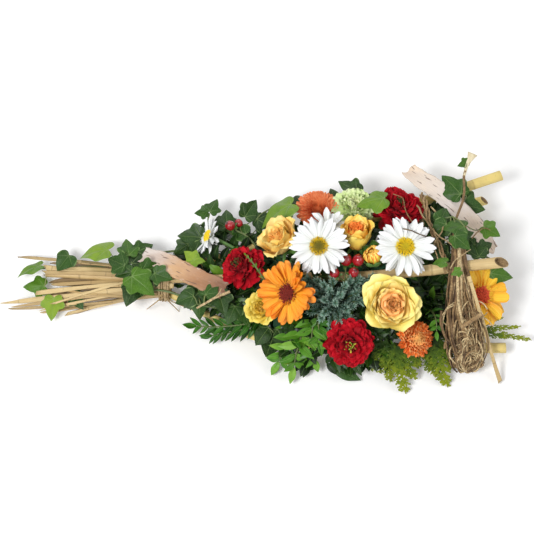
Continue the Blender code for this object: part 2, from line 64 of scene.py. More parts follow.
class Wire:
    """What a node gives. wire["Name"] is another output of its node, and sums on a wire add Math nodes."""

    def __init__(self, socket):
        self.socket = socket

    def __getitem__(self, key):
        return Wire(self.socket.node.outputs[key])

    def __abs__(self):
        return calc("ABSOLUTE", self)


for sign, sum_kind in (("add", "ADD"), ("sub", "SUBTRACT"), ("mul", "MULTIPLY"), ("truediv", "DIVIDE"),
                       ("pow", "POWER")):
    setattr(Wire, f"__{sign}__", lambda one, other, kind=sum_kind: calc(kind, one, other))
    setattr(Wire, f"__r{sign}__", lambda one, other, kind=sum_kind: calc(kind, other, one))


def feed(node, *wired, **named):
    """Sets a node's own settings by name, then its sockets, in order or by Name, to values or wires."""
    for key in [key for key in named if key[0].islower()]:
        setattr(node, key, named.pop(key))
    for key, value in (*enumerate(wired), *((key.replace("_", " "), value) for key, value in named.items())):
        if isinstance(value, Wire):
            net.links.new(value.socket, node.inputs[key])
        elif value is not None:
            is_colour = isinstance(value, tuple) and len(node.inputs[key].default_value) == 4
            node.inputs[key].default_value = (*value, 1) if is_colour else value
    return node


def put(kind, *wired, **named):
    """Adds a node to the tree in hand, feeds it, and gives its first output."""
    starts = ("ShaderNode", "GeometryNode", "FunctionNode")
    kind = next(start + kind for start in starts if hasattr(bpy.types, start + kind))
    return Wire(feed(net.nodes.new(kind), *wired, **named).outputs[0])


def calc(kind, *values):
    return put("Math", *values, operation=kind)


def fade(value, low, high, at_low=0.0, at_high=1.0):
    """Goes evenly from at_low to at_high as value goes from low to high, and stays there beyond them."""
    return put("MapRange", value, low, high, at_low, at_high)


def coords(kind="Object"):
    return put("TexCoord")[kind]


def material(name, **values):
    """Starts a material: its tree is in hand, and it comes back with its shader, whose constants are set."""
    global net
    made = bpy.data.materials.new(name)
    made.use_nodes = True
    net = made.node_tree
    return made, feed(net.nodes["Principled BSDF"], **values)


def add_object(name, data):
    obj = bpy.data.objects.new(name, data)
    SCENE.collection.objects.link(obj)
    return obj


def mesh_object(name, verts, faces, *finishes, smooth=True, uvs=None):
    mesh = bpy.data.meshes.new(name)
    mesh.from_pydata([tuple(vert) for vert in verts], [], faces)
    if uvs is not None:
        layer = mesh.uv_layers.new(name="UVMap")
        corners = np.empty(len(mesh.loops), np.int32)
        mesh.loops.foreach_get("vertex_index", corners)
        layer.data.foreach_set("uv", np.asarray(uvs, np.float32)[corners].ravel())
    if smooth:
        mesh.shade_smooth()
    for finish in finishes:
        mesh.materials.append(finish)
    return add_object(name, mesh)


def seen_plainly():
    """1 where the camera looks, straight or by way of metal and glass, and 0 for light on the object."""
    path = put("LightPath")
    plain = path["Is Camera Ray"]
    for other in ("Is Glossy Ray", "Is Transmission Ray"):
        plain = calc("MAXIMUM", plain, path[other])
    return plain


TABLE_REACH = 6
WHITE = (1, 1, 1)
table_white, _ = material("table_white")
lit = put("BsdfDiffuse", (0.93, 0.93, 0.93))
# Painted light: for the camera the table also glows, more the further it lies from the middle
glow = put("Emission", WHITE, fade(put("VectorMath", coords(), operation="LENGTH")["Value"], 0.5, 2.6, 0.12, 0.62))
feed(net.nodes["Material Output"], put("MixShader", seen_plainly(), lit, put("AddShader", lit, glow)))
corners = [(x * TABLE_REACH, y * TABLE_REACH, 0) for x, y in ((-1, -1), (1, -1), (1, 1), (-1, 1))]
mesh_object("table_top", corners, [(0, 1, 2, 3)], table_white, smooth=False)

SCENE.world = bpy.data.worlds.new("studio")
SCENE.world.use_nodes = True
net = SCENE.world.node_tree
LIGHT_ALL_ROUND = 0.32
feed(net.nodes["Background"], WHITE, seen_plainly() * (1 - LIGHT_ALL_ROUND) + LIGHT_ALL_ROUND)

LAMPS = (  # name, place, side of the square lamp, watts
    ("key_lamp", (-0.75, -0.75, 1.60), 0.5, 25),
    ("fill_lamp", (1.1, -0.6, 1.2), 1.1, 7),
    ("back_lamp", (-0.2, 1.3, 1.1), 1.2, 8),
)
ARRANGEMENT_MIDDLE = Vector((-0.101, 0.033, 0.05))
for name, place, side, watts in LAMPS:
    light = bpy.data.lights.new(name, "AREA")
    light.size = side
    light.energy = watts
    lamp = add_object(name, light)
    lamp.location = place
    lamp.rotation_euler = (ARRANGEMENT_MIDDLE - Vector(place)).to_track_quat("-Z", "Y").to_euler()

CAMERA_RISE = math.radians(66)
CAMERA_DISTANCE = 1.8
camera = add_object("camera", bpy.data.cameras.new("camera"))
camera.data.lens = 93.3
camera.data.sensor_width = 36
camera.data.clip_end = 30
SCENE.camera = camera
camera.location = ARRANGEMENT_MIDDLE + CAMERA_DISTANCE * Vector((0, -math.cos(CAMERA_RISE), math.sin(CAMERA_RISE)))
camera.rotation_euler = (math.pi / 2 - CAMERA_RISE, 0, 0)

# ---------------------------------------------------------------------------
# Tray and foam. A shallow dish pressed from dark green plastic, with a rolled
# rim, and a brick of wet floral foam cut to drop into it, pierced by the stems.


def group(name, kind, gives, **takes):
    """Starts a node group: takes has the names of its inputs under their kind, and gives those of its outputs."""
    global net
    net = bpy.data.node_groups.new(name, kind + "NodeTree")
    sockets = [("INPUT", sort, label) for sort, labels in takes.items() for label in labels.split(", ")]
    sockets += [("OUTPUT", {"Geometry": "Geometry", "Colour": "Color"}.get(label, "Float"), label)
                for label in gives.split(", ")]
    for way, sort, label in sockets:
        net.interface.new_socket(label, in_out=way, socket_type="NodeSocket" + sort)
    return Wire(net.nodes.new("NodeGroupInput").outputs[0]), net.nodes.new("NodeGroupOutput")


given, result = group("grain", "Shader", "Grain", Vector="Coordinates, Stretch", Float="Scale, Detail, Roughness")
drawn_out = put("Mapping", Vector=given["Coordinates"], Scale=given["Stretch"])
feed(result, put("TexNoise", Vector=drawn_out, Scale=given["Scale"], Detail=given["Detail"],
                 Roughness=given["Roughness"]))
GRAIN = net


def grain(place, scale, detail=4.0, roughness=0.6, stretch=(1, 1, 1)):
    """Noise over a surface, with its features drawn out where stretch is small."""
    return put("Group", place, stretch, scale, detail, roughness, node_tree=GRAIN)


def mixed(share, first, second):
    return put("Mix", share, *[None] * 5, first, second, data_type="RGBA")[2]


def graded(value, *stops):
    """Colours that run into each other along value, from stops of (place, colour)."""
    place, colour = stops[0]
    for end, other in stops[1:]:
        colour = mixed(fade(value, place, end), colour, other)
        place = end
    return colour


def relief(height, strength, distance=0.001):
    return put("Bump", Strength=strength, Distance=distance, Height=height)


tray_plastic, shader = material("tray_plastic", Roughness=0.4)
feed(shader, Base_Color=graded(grain(coords(), 30), (0.3, (0.006, 0.035, 0.014)), (0.7, (0.012, 0.06, 0.025))),
     Normal=relief(grain(coords(), 900), 0.3, 0.0004))

wet_foam, shader = material("wet_foam", Roughness=0.8)
cells = put("TexVoronoi", Vector=coords(), Scale=700.0)["Distance"]
blotch = graded(grain(coords(), 45), (0.3, (0.012, 0.075, 0.03)), (0.7, (0.03, 0.14, 0.06)))
feed(shader, Base_Color=mixed(0.5, blotch, graded(cells, (0.0, (0.004, 0.03, 0.012)), (0.6, (0.03, 0.13, 0.06)))),
     Normal=relief(cells, 0.8, 0.0006))
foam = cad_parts["foam_brick"]
foam.data.materials.clear()
foam.data.materials.append(wet_foam)


def ride(obj, slot, *nodes):
    """Fixes a piece to the one body, in place of the CAD nodes it stands for; its slot is not used."""
    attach(obj, "root")
    if nodes:
        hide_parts(*nodes)
    return obj


low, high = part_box("tray")
TRAY_WALL = 0.002
TRAY_FOOT = 0.004
RIM_RADIUS = 0.0016
CORNER_RADIUS = 0.008
CORNER_STEPS = 6


def rounded_outline(inset):
    """Points round the tray, from its box and set in from it, with rounded corners."""
    corner = max(CORNER_RADIUS - inset, 0.001)
    points = []
    for turn in range(4):
        x = (high.x - inset - corner) if turn in (0, 3) else (low.x + inset + corner)
        y = (high.y - inset - corner) if turn in (0, 1) else (low.y + inset + corner)
        for step in range(CORNER_STEPS + 1):
            angle = math.pi / 2 * (turn + step / CORNER_STEPS)
            points.append((x + corner * math.cos(angle), y + corner * math.sin(angle)))
    return points


def loft(rings):
    """Vertices and faces through rings of equal length, with flat ends, facing outwards."""
    count = len(rings[0])
    verts = [point for ring in rings for point in ring]
    faces = [(a + i, a + (i + 1) % count, a + count + (i + 1) % count, a + count + i)
             for a in range(0, len(verts) - count, count) for i in range(count)]
    return verts, [*faces, tuple(range(count))[::-1], tuple(range(len(verts) - count, len(verts)))]


# The section of the wall, from the middle of the base out, over the rim and back in
section = [(TRAY_FOOT, 0.0), (0.0, 0.003), (0.0, high.z - 2 * RIM_RADIUS)]
section += [(RIM_RADIUS * (1 - math.cos(turn)) * 0.9, high.z - RIM_RADIUS + RIM_RADIUS * math.sin(turn))
            for turn in (0.4, 1.2, 2.0, 2.7)]
section += [(TRAY_WALL, 0.005), (TRAY_FOOT + TRAY_WALL, TRAY_WALL)]
rings = [[(x, y, z) for x, y in rounded_outline(inset)] for inset, z in section]
ride(mesh_object("tray_dish", *loft(rings), tray_plastic), "tray_plastic", "tray")

# ---------------------------------------------------------------------------
# Canes. Lengths of straw-yellow cane, hollow, with a ridge at each node and a
# slanted or square cut at the mouth; they taper towards the tail.


def mm(points):
    """Vectors, in metres, from places in millimetres."""
    return [Vector(point) * 0.001 for point in points]


def smooth(points, steps):
    """A smooth curve through points, with steps to each stretch."""
    points = [Vector(point) for point in points]
    route = []
    ends = [2 * points[0] - points[1], *points, 2 * points[-1] - points[-2]]
    for a, b, c, d in zip(ends, ends[1:], ends[2:], ends[3:]):
        for step in range(steps):
            t = step / steps
            route.append(0.5 * (2 * b + (c - a) * t + (2 * a - 5 * b + 4 * c - d) * t * t
                                + (3 * b - a - 3 * c + d) * t ** 3))
    return [*route, points[-1]]


def headings(points):
    ends = [points[0], *points, points[-1]]
    return [(after - before).normalized() for before, after in zip(ends, ends[2:])]


def runs(points):
    """How far along the route each point lies."""
    lengths = [0.0]
    for before, after in zip(points, points[1:]):
        lengths.append(lengths[-1] + (after - before).length)
    return lengths


def square_to(heading, guess):
    return (guess - heading * guess.dot(heading)).normalized()


def turns(count):
    return [(math.cos(2 * math.pi * i / count), math.sin(2 * math.pi * i / count)) for i in range(count)]


def along():
    """How far along its own piece a surface lies, from its UV."""
    return put("SeparateXYZ", coords("UV"))[1]


NODE_SHIFT = 0.6  # The thin end lies this share of a node gap past a node
given, result = group("straw", "Shader", "Colour, Roughness, Height", Color="Pale, Deep, Dark",
                      Float="Node Gap, Node Share")
fibres = grain(coords("UV"), 60, 3, 0.7, (1.0, 0.35, 1))
half_gap = given["Node Gap"] / 2
off_node = calc("PINGPONG", along() + given["Node Gap"] * NODE_SHIFT, half_gap) / half_gap
band = fade(off_node, 0.0, given["Node Share"], 1.0, 0.0)
colour = mixed(fade(grain(coords(), 14), 0.35, 0.68), given["Pale"], given["Deep"])
colour = mixed(fade(fibres, 0.38, 0.62, 0.65, 0.0), colour, given["Deep"])
colour = mixed(fade(grain(coords(), 160, 5, 0.7), 0.60, 0.72, 0.0, 0.75), colour, given["Dark"])
feed(result, mixed(band * 0.55, colour, given["Dark"]), fade(fibres, 0.2, 0.8, 0.62, 0.36), fibres)
STRAW = net  # Long fibres, a darker band at each node, and sun-bleached patches


def dressed(started, effect, bump, *values):
    """Ends a material: it wears an effect with its own values, whose height is in relief by bump."""
    made, shader = started
    look = put("Group", *values, node_tree=effect)
    for output in look.socket.node.outputs:
        if output.name == "Height":
            feed(shader, Normal=relief(look["Height"], *bump))
        else:
            feed(shader, **{{"Colour": "Base Color"}.get(output.name, output.name): look[output.name]})
    return made


def straw_finish(name, *values):
    return dressed(material(name), STRAW, (0.35, 0.0008), *values)


cane_skin = straw_finish("cane_skin", (0.72, 0.56, 0.27), (0.50, 0.33, 0.14), (0.20, 0.11, 0.04), 0.115, 0.035)
cane_yellow = straw_finish("cane_yellow", (0.82, 0.66, 0.20), (0.74, 0.56, 0.20), (0.42, 0.27, 0.08), 0.13, 0.03)
cane_inside, shader = material("cane_inside", Roughness=0.8)
feed(shader, Base_Color=graded(grain(coords(), 300, 4, 0.7), (0.3, (0.10, 0.055, 0.02)), (0.7, (0.36, 0.24, 0.11))),
     Normal=relief(grain(coords(), 700), 0.5, 0.0004))

CANE_NODE_GAP = 0.115
RIDGE = 0.09
RIDGE_LENGTH = 0.004
THIN_END = 0.0040
CANE_SIDES = 22
CANES = (  # node, route, radius at the mouth, slant of the mouth's cut, finish
    ("cane_over_top", ((-392, 34, 25), (-235, 20, 40), (-90, 11, 69), (28, 4, 88), (192, 11, 114)),
     0.0072, 1.3, cane_skin),
    ("cane_back_high", ((-246, 29, 29), (-235, 30, 30), (-115, 66, 42), (0, 92, 47), (211, 162, 60)),
     0.0070, 0.15, cane_yellow),
    ("cane_back_low", ((-252, 27, 18), (-235, 29, 19), (-110, 66, 21), (0, 90, 18), (193, 146, 18)),
     0.0065, 0.9, cane_yellow),
    ("cane_front", ((-252, 13, 21), (-235, 11, 21), (-165, -29, 20), (-90, -58, 19), (60, -67, 19), (207, -68, 20)),
     0.0066, 0.1, cane_yellow),
)
# The cut end, from the wall's edge to the hollow inside: share of the radius, and depth
CANE_END = ((0.90, -0.0004), (0.70, 0.0), (0.62, 0.002), (0.58, 0.012), (0.56, 0.034))

for node, route, thick, slant, finish in CANES:
    points = smooth(mm(route), 14)
    wobble = random.Random(node)
    lean = [wobble.uniform(0.96, 1.04) for _ in range(CANE_SIDES)]
    rings, uvs = [], []
    side = Vector((0, 0, 1))

    def hoop(point, radius, cut, bumps):
        """Adds a ring square to the cane, or sheared along it where it is cut."""
        rings.append([point + (side * c + other * s) * radius * bump - heading * c * radius * cut
                      for (c, s), bump in zip(turns(CANE_SIDES), bumps)])

    for number, (point, heading, run) in enumerate(zip(points, headings(points), runs(points))):
        side = square_to(heading, side)
        other = heading.cross(side)
        off_node = CANE_NODE_GAP / 2 - abs((run + CANE_NODE_GAP * NODE_SHIFT) % CANE_NODE_GAP - CANE_NODE_GAP / 2)
        swell = 1 + RIDGE * math.exp(-((off_node / RIDGE_LENGTH) ** 2))
        share = number / (len(points) - 1)
        hoop(point, (THIN_END + (thick - THIN_END) * share) * swell, slant if share == 1 else 0.0, lean)
        uvs += [(i / CANE_SIDES, run) for i in range(CANE_SIDES)]
    hollow = len(rings) * CANE_SIDES
    for inner, depth in CANE_END:
        hoop(point - heading * depth, thick * inner, slant, [1.0] * CANE_SIDES)
        uvs += [(i / CANE_SIDES, run + depth) for i in range(CANE_SIDES)]
    obj = mesh_object(node + "_stalk", *loft(rings), finish, cane_inside, uvs=uvs)
    for face in obj.data.polygons:
        face.material_index = int(min(face.vertices) >= hollow)
    ride(obj, "cane", node)

# ---------------------------------------------------------------------------
# Daisies. White ray petals in two rows round a domed yellow disc of florets, each
# on one green stem pushed into the foam. Marguerites: two face up, one shows its
# edge on the left, and one lies behind.

GOLDEN_TURN = math.pi * (3 - math.sqrt(5))


def grown(name, effect, verts=((0, 0, 0),), edges=(), features=None, **values):
    """A plain mesh object that a tree grows on points and lines, which may carry features by name."""
    mesh = bpy.data.meshes.new(name + "_base")
    mesh.from_pydata([tuple(vert) for vert in verts], edges, [])
    for label, amounts in (features or {}).items():
        kind, field = ("FLOAT", "value") if np.ndim(amounts) == 1 else ("FLOAT_VECTOR", "vector")
        mesh.attributes.new(label, kind, "POINT").data.foreach_set(field, np.ravel(amounts))
    base = add_object(name + "_base", mesh)
    modifier = base.modifiers.new("grow", "NODES")
    modifier.node_group = effect
    identifiers = {item.name: item.identifier for item in effect.interface.items_tree if item.in_out == "INPUT"}
    for key, value in values.items():
        modifier[identifiers[key.replace("_", " ")]] = value
    mesh = bpy.data.meshes.new_from_object(base.evaluated_get(bpy.context.evaluated_depsgraph_get()))
    mesh.name = name
    base.modifiers.remove(modifier)
    bpy.data.objects.remove(base)
    mesh.shade_smooth()
    return add_object(name, mesh)


def between(share, first, last):
    return put("MapRange", share, None, None, first, last, clamp=False)


def chance(low, high, seed):
    return put("RandomValue", None, None, low, high, *[None] * 4, seed, data_type="FLOAT")[1]


def ruffled(geometry, amount, scale, seed):
    """Moves points by smooth noise, so that no two petals or leaves are alike."""
    wave = put("TexNoise", Vector=put("InputPosition"), Scale=scale, W=seed, Detail=1.0, noise_dimensions="4D")[1]
    centred = put("VectorMath", wave, (0.5, 0.5, 0.5), operation="SUBTRACT")
    return put("SetPosition", Geometry=geometry, Offset=put("VectorMath", centred, Scale=amount, operation="SCALE"))


def marked(geometry, name, value, domain="INSTANCE"):
    return put("StoreNamedAttribute", Geometry=geometry, Name=name, Value=value, data_type="FLOAT", domain=domain)


def stood(points, shapes, given, turn, size):
    """Stands a shape, picked at random from a collection, on each point."""
    pick = put("RandomValue", *[None] * 4, 0, 50, None, None, given["Seed"], data_type="INT")[2]
    return put("InstanceOnPoints", Points=points, Instance=put("CollectionInfo", given[shapes], True, True),
               Pick_Instance=True, Instance_Index=pick, Rotation=put("EulerToRotation", turn), Scale=size)


def realised(geometry, given, result):
    """Ends a tree: its pieces become one ruffled mesh with its finish."""
    real = ruffled(put("RealizeInstances", geometry), given["Ruffle"], given["Ruffle Scale"], given["Seed"])
    feed(result, put("SetMaterial", Geometry=real, Material=given["Finish"]))
    return net


given, result = group("petal_whorl", "Geometry", "Geometry", Geometry="Geometry", Collection="Petals",
                      Int="Count, Seed", Vector="First Size, Last Size", Material="Finish",
                      Float="Turn, First Radius, Last Radius, Spread, First Height, Last Height, Droop, First Tilt, "
                            "Last Tilt, Unevenness, Ruffle, Ruffle Scale")
loose = given["Unevenness"]
index = put("InputIndex")
share = index / calc("MAXIMUM", given["Count"] - 1, 1)
radius = between(share ** given["Spread"], given["First Radius"], given["Last Radius"])
height = between(share ** given["Droop"], given["First Height"], given["Last Height"])
angle = index * given["Turn"] + chance(-1, 1, given["Seed"]) * loose
tilt = between(share, given["First Tilt"], given["Last Tilt"]) + chance(-1, 1, given["Seed"] + 7) * loose
twist = chance(-1, 1, given["Seed"] + 13) * loose
size = put("Mix", share, None, None, None, given["First Size"], given["Last Size"], data_type="VECTOR",
           clamp_factor=False)[1]
size = put("VectorMath", size, Scale=chance(-0.6, 0.6, given["Seed"] + 3) * loose + 1, operation="SCALE")
place = put("CombineXYZ", calc("COSINE", angle) * radius, calc("SINE", angle) * radius, height)
petals = stood(put("Points", given["Count"], place, 0.001), "Petals", given, put("CombineXYZ", twist, tilt * -1, angle),
               size)
petals = marked(marked(petals, "rank", share), "tone", chance(0, 1, given["Seed"] + 5))
WHORL = realised(petals, given, result)  # Petals set round an axis, from the first at the centre to the last outside


def whorl(name, node, slot, place, petals, finish, count, radius, height, tilt, size, seed=1, spiral=False, spread=1.0,
          droop=1.0, loose=0.1, ruffle=0.0, ruffle_scale=60.0):
    """Petals in an even ring or a spiral. Each measure is one value, or a list of the first petal's and the last's."""
    values = {}
    for label, value in (("Radius", radius), ("Height", height), ("Tilt", tilt), ("Size", size)):
        values["First " + label], values["Last " + label] = value if isinstance(value, list) else (value, value)
    obj = grown(name, WHORL, Petals=petals, Count=count, Turn=GOLDEN_TURN if spiral else 2 * math.pi / count,
                Spread=spread, Droop=droop, Unevenness=loose, Ruffle=ruffle, Ruffle_Scale=ruffle_scale, Seed=seed,
                Finish=finish, **values)
    obj.data.transform(place)
    return ride(obj, slot, node)


def hidden_set(name, *objects):
    """A collection outside the scene, that holds the shapes that a tree picks from."""
    collection = bpy.data.collections.new(name)
    for obj in objects:
        SCENE.collection.objects.unlink(obj)
        collection.objects.link(obj)
    return collection


def grid(rows, columns):
    corners = [row * (columns + 1) + column for row in range(rows) for column in range(columns)]
    return [(a, a + columns + 1, a + columns + 2, a + 1) for a in corners]


ROLL_START = 0.72  # A lip rolls back from this share of the petal's length


def petal(name, outline, rows=8, columns=6, cup=0.0, curl=0.0, lift=0.0, ribs=0, rib=0.0, point=0.0, lip=0.0,
          frill=0.0, frills=3.0, phase=0.0, wrap=0.0):
    """A petal 1 long and 1 wide, from the origin along +X, with its face up and UV across and along.

    outline is its half width at even steps; curl turns it up along its length, wrap bends it
    round its long axis, lip rolls its end back, and frill waves its margin.
    """
    verts, uvs = [], []
    slope, x, z = lift, 0.0, 0.0
    for row in range(rows + 1):
        v = row / rows
        if row:
            slope += curl / rows - lip * max(0.0, v - ROLL_START) ** 1.2
            x += math.cos(slope) / rows
            z += math.sin(slope) / rows
        spot = v * (len(outline) - 1)
        low = min(int(spot), len(outline) - 2)
        half = outline[low] + (outline[low + 1] - outline[low]) * (spot - low)
        for column in range(columns + 1):
            u = 2 * column / columns - 1
            back = -point * u * u * v ** 3
            wave = frill * math.sin(u * frills * math.pi + phase + v * 2) * v ** 2
            rise = cup * u * u * half * 2 + rib * math.cos(u * ribs * math.pi) * (1 - v ** 4) + wave
            across = u * half
            if wrap:
                rise += (1 - math.cos(u * wrap)) * half / wrap
                across = math.sin(u * wrap) * half / wrap
            verts.append((x + back * math.cos(slope) - rise * math.sin(slope), across,
                          z + back * math.sin(slope) + rise * math.cos(slope)))
            uvs.append(((u + 1) / 2, v))
    return mesh_object(name, verts, [face[::-1] for face in grid(rows, columns)], uvs=uvs)


def petal_set(name, outline, keys, *kinds, **shared):
    """A hidden set of petals of one outline, of several kinds that differ in what keys lists."""
    return hidden_set(name + "s", *(petal(f"{name}_{n}", outline, **shared, **dict(zip(keys.split(), kind)))
                                    for n, kind in enumerate(kinds)))


def face_frame(face, facing, spin=0.0):
    """The matrix that takes a head modelled on +Z at the origin to its place."""
    return (Matrix.Translation(face) @ facing.normalized().to_track_quat("Z", "Y").to_matrix().to_4x4()
            @ Matrix.Rotation(spin, 4, "Z"))


def tube_rings(points, radii, sides):
    rings = []
    side = Vector((0, 0, 1))
    for point, heading, radius in zip(points, headings(points), radii):
        side = square_to(heading, side)
        other = heading.cross(side)
        rings.append([point + (side * c + other * s) * radius for c, s in turns(sides)])
    return rings


stem_green, shader = material("stem_green", Roughness=0.5)
feed(shader, Base_Color=graded(grain(coords(), 200, 3), (0.3, (0.05, 0.13, 0.02)), (0.7, (0.11, 0.24, 0.05))))
STEM_RADIUS = 0.0021
STEM_SIDES = 10
STEM_STEPS = 10
STEM_STIFFNESS = 0.38
HEADS = []  # The flowers, which the filling leaves keep clear of: face, the way it looks, radius


class Head:
    """A flower's head on its stem, out of a hole in the foam. Its parts share its node, slot and seed."""

    def __init__(self, node, slot, radius, root, leave, face, facing, seed, spin=None):
        self.node, self.slot, self.radius, self.seed = node, slot, radius, seed
        self.root, self.leave, self.face = mm((root, leave, face))
        self.facing = Vector(facing).normalized()
        self.place = face_frame(self.face, self.facing, seed if spin is None else spin)

    def whorl(self, part, *measures, place=None, seed=0, **looks):
        return whorl(f"{self.node}_{part}", self.node, self.slot, place or self.place, *measures,
                     seed=self.seed + seed, **looks)

    def turned(self, part, size, section, sides, *finishes, change=0.0):
        """A turned body on the head's axis through (height, radius); above change it takes the second finish."""
        rings = [[Vector((c * r, s * r, z)) * size for c, s in turns(sides)] for z, r in section]
        obj = mesh_object(f"{self.node}_{part}", *loft(rings), *finishes)
        for face in obj.data.polygons:
            face.material_index = int(len(finishes) > 1 and face.center.z > change * size)
        obj.data.transform(self.place)
        return ride(obj, self.slot, self.node)

    def stem(self, gap, reach=1.0):
        """The stem, from its hole round to the back of the head, which is reach of its radius wide."""
        HEADS.append((self.face, self.facing, self.radius * reach))
        leave, neck = self.leave, self.face - self.facing * gap
        pull = (neck - leave).length * STEM_STIFFNESS
        bend, end = leave + (leave - self.root).normalized() * pull, neck - self.facing * pull
        route = [self.root]
        for step in range(STEM_STEPS + 1):
            t = step / STEM_STEPS
            route.append(leave * (1 - t) ** 3 + bend * 3 * t * (1 - t) ** 2 + end * 3 * t * t * (1 - t) + neck * t ** 3)
        route.append(neck + self.facing * gap * 0.5)
        rings = tube_rings(route, [STEM_RADIUS] * len(route), STEM_SIDES)
        uvs = [(i / STEM_SIDES, run) for run in runs(route) for i in range(STEM_SIDES)]
        ride(mesh_object(self.node + "_stem", *loft(rings), stem_green, uvs=uvs), self.slot, self.node)


def attribute(name):
    return put("Attribute", attribute_name=name)["Fac"]


given, result = group("ribs", "Shader", "Ribs", Float="Scale, Distortion, Detail")
feed(result, put("TexWave", Vector=coords("UV"), Scale=given["Scale"], Distortion=given["Distortion"],
                 Detail=given["Detail"])[1])
RIBS = net  # Fine ribs along a petal


def ribs(scale, distortion, detail):
    return put("Group", scale, distortion, detail, node_tree=RIBS)


daisy_white, shader = material("daisy_white", Roughness=0.55, Sheen_Weight=0.1)
grooves = ribs(1.1, 0.8, 1.0)
colour = graded(along(), (0.0, (0.55, 0.62, 0.36)), (0.22, (0.86, 0.88, 0.85)), (1.0, (0.90, 0.91, 0.92)))
# Painted shade: the grooves are tinted blue-grey as well as raised
feed(shader, Base_Color=mixed(fade(grooves, 0.0, 0.45, 0.28, 0.0), colour, (0.64, 0.68, 0.70)),
     Normal=relief(grooves, 0.4, 0.0008))

given, result = group("daisy_disc", "Shader", "Colour", Color="Middle, Inner, Outer, Rim, Deep",
                      Float="Inner Place, Outer Place")
colour = graded(attribute("rank"), (0.0, given["Middle"]), (given["Inner Place"], given["Inner"]),
                (given["Outer Place"], given["Outer"]), (1.0, given["Rim"]))
feed(result, mixed(fade(along(), 0.1, 0.7, 1.0, 0.0), colour, given["Deep"]))
DISC = net  # Florets coloured by how far out they stand, with painted shade down between them
disc_yellow = dressed(material("disc_yellow", Roughness=0.7), DISC, None, (0.78, 0.64, 0.02), (0.90, 0.62, 0.01),
                      (0.94, 0.72, 0.02), (0.90, 0.68, 0.02), (0.25, 0.15, 0.005), 0.35, 0.8)
disc_olive = dressed(material("disc_olive", Roughness=0.7), DISC, None, (0.20, 0.18, 0.02), (0.36, 0.27, 0.01),
                     (0.75, 0.50, 0.01), (0.70, 0.48, 0.01), (0.16, 0.11, 0.005), 0.25, 0.55)

daisy_rays = petal_set("daisy_ray", (0.16, 0.30, 0.42, 0.48, 0.50, 0.51, 0.50, 0.44, 0.24), "cup curl point",
                       (-0.10, -0.30, 0.10), (0.12, -0.12, 0.08), (-0.16, -0.55, 0.12), (0.06, 0.12, 0.07),
                       rows=9, columns=8, lift=0.12, ribs=3, rib=0.02)


def bead(name, waist=0.5, sides=5):
    """A small closed blob 1 long and 1 wide, standing along +X from the origin."""
    section = ((0.0, waist), (0.55, 0.5), (0.85, 0.4), (1.0, 0.12))
    rings = [[(x, r * c, r * s) for c, s in turns(sides)] for x, r in section]
    return mesh_object(name, *loft(rings), uvs=[(i / sides, x) for x, _ in section for i in range(sides)])


florets = hidden_set("florets", bead("floret", 0.3))


def daisy(node, radius, *place, petals, disc_finish, disc=0.24, tilt=0.10):
    head = Head(node, "daisy_petal", radius, *place)
    length, width, dome = radius * 0.80, radius * 0.235, radius * disc
    head.whorl("rays", daisy_rays, daisy_white, petals, radius * 0.20, 0.0005, tilt + 0.05, (length, width, length),
               loose=0.09, ruffle=0.0022, ruffle_scale=70)
    head.whorl("under_rays", daisy_rays, daisy_white, petals - 3, radius * 0.18, -0.0012, tilt - 0.12,
               (length * 0.98, width, length), loose=0.12, ruffle=0.003, ruffle_scale=70, seed=50,
               place=head.place @ Matrix.Rotation(math.pi / petals, 4, "Z"))
    head.whorl("disc", florets, disc_finish, 230, [0.0002, dome], [dome * 0.46, dome * 0.02], [1.5, 0.8],
               [(0.0026, 0.0014, 0.0014), (0.0032, 0.0017, 0.0017)], spiral=True, spread=0.5, droop=1.4, loose=0.12)
    head.turned("receptacle", dome, ((-0.55, 0.30), (-0.40, 0.85), (-0.05, 0.95), (0.10, 0.92), (0.30, 0.72),
                                     (0.44, 0.42), (0.50, 0.12)), 20, stem_green, disc_finish)
    head.stem(radius * 0.34)


# A flower: node, radius, then the root of its stem, the place where the stem leaves the
# foam, and the face, all in millimetres, then the way the face looks, and a seed
daisy("daisy_center", 0.0375, (-40, 27, 36), (-39, 27, 66), (-37, 21, 140), (-0.03, -0.30, 0.95), 3, petals=22,
      disc_finish=disc_olive, disc=0.27, tilt=0.02)
daisy("daisy_right", 0.038, (58, 22, 36), (60, 23, 66), (70, 22, 136), (0.12, -0.28, 0.95), 11, petals=18,
      disc_finish=disc_yellow, disc=0.28, tilt=0.02)
daisy("daisy_back", 0.028, (-22, 31, 36), (-22, 35, 66), (-24, 58, 114), (0.16, 0.20, 0.96), 23, petals=18,
      disc_finish=disc_yellow)
daisy("daisy_side", 0.026, (-72, 24, 40), (-98, 32, 49), (-177, 69, 67), (-0.86, 0.12, 0.50), 31, petals=19,
      disc_finish=disc_yellow, tilt=0.12)

# ---------------------------------------------------------------------------
# Gerberas. Two rows of long rounded rays round a flat dark disc with a ring of
# short inner florets: the left one orange with a brown-red disc, the right one
# yellow with coral edges and a coral disc.

given, result = group("gerbera_ray", "Shader", "Colour, Height", Color="Near, Middle, Tip, Edge", Float="Edge Share")
fine = ribs(2.0, 0.8, 1.0)
margin = abs(put("SeparateXYZ", coords("UV")) * 2 - 1)
colour = graded(along(), (0.0, given["Near"]), (0.45, given["Middle"]), (1.0, given["Tip"]))
colour = mixed(fade(margin, 0.45, 0.95, 0.0, given["Edge Share"]), colour, given["Edge"])
colour = mixed(attribute("tone") * 0.45, colour, given["Near"])
feed(result, mixed(fade(fine, 0.0, 0.5, 0.3, 0.0), colour, given["Edge"]), fine)
RAY = net  # Colour along the ray, and another at its margins

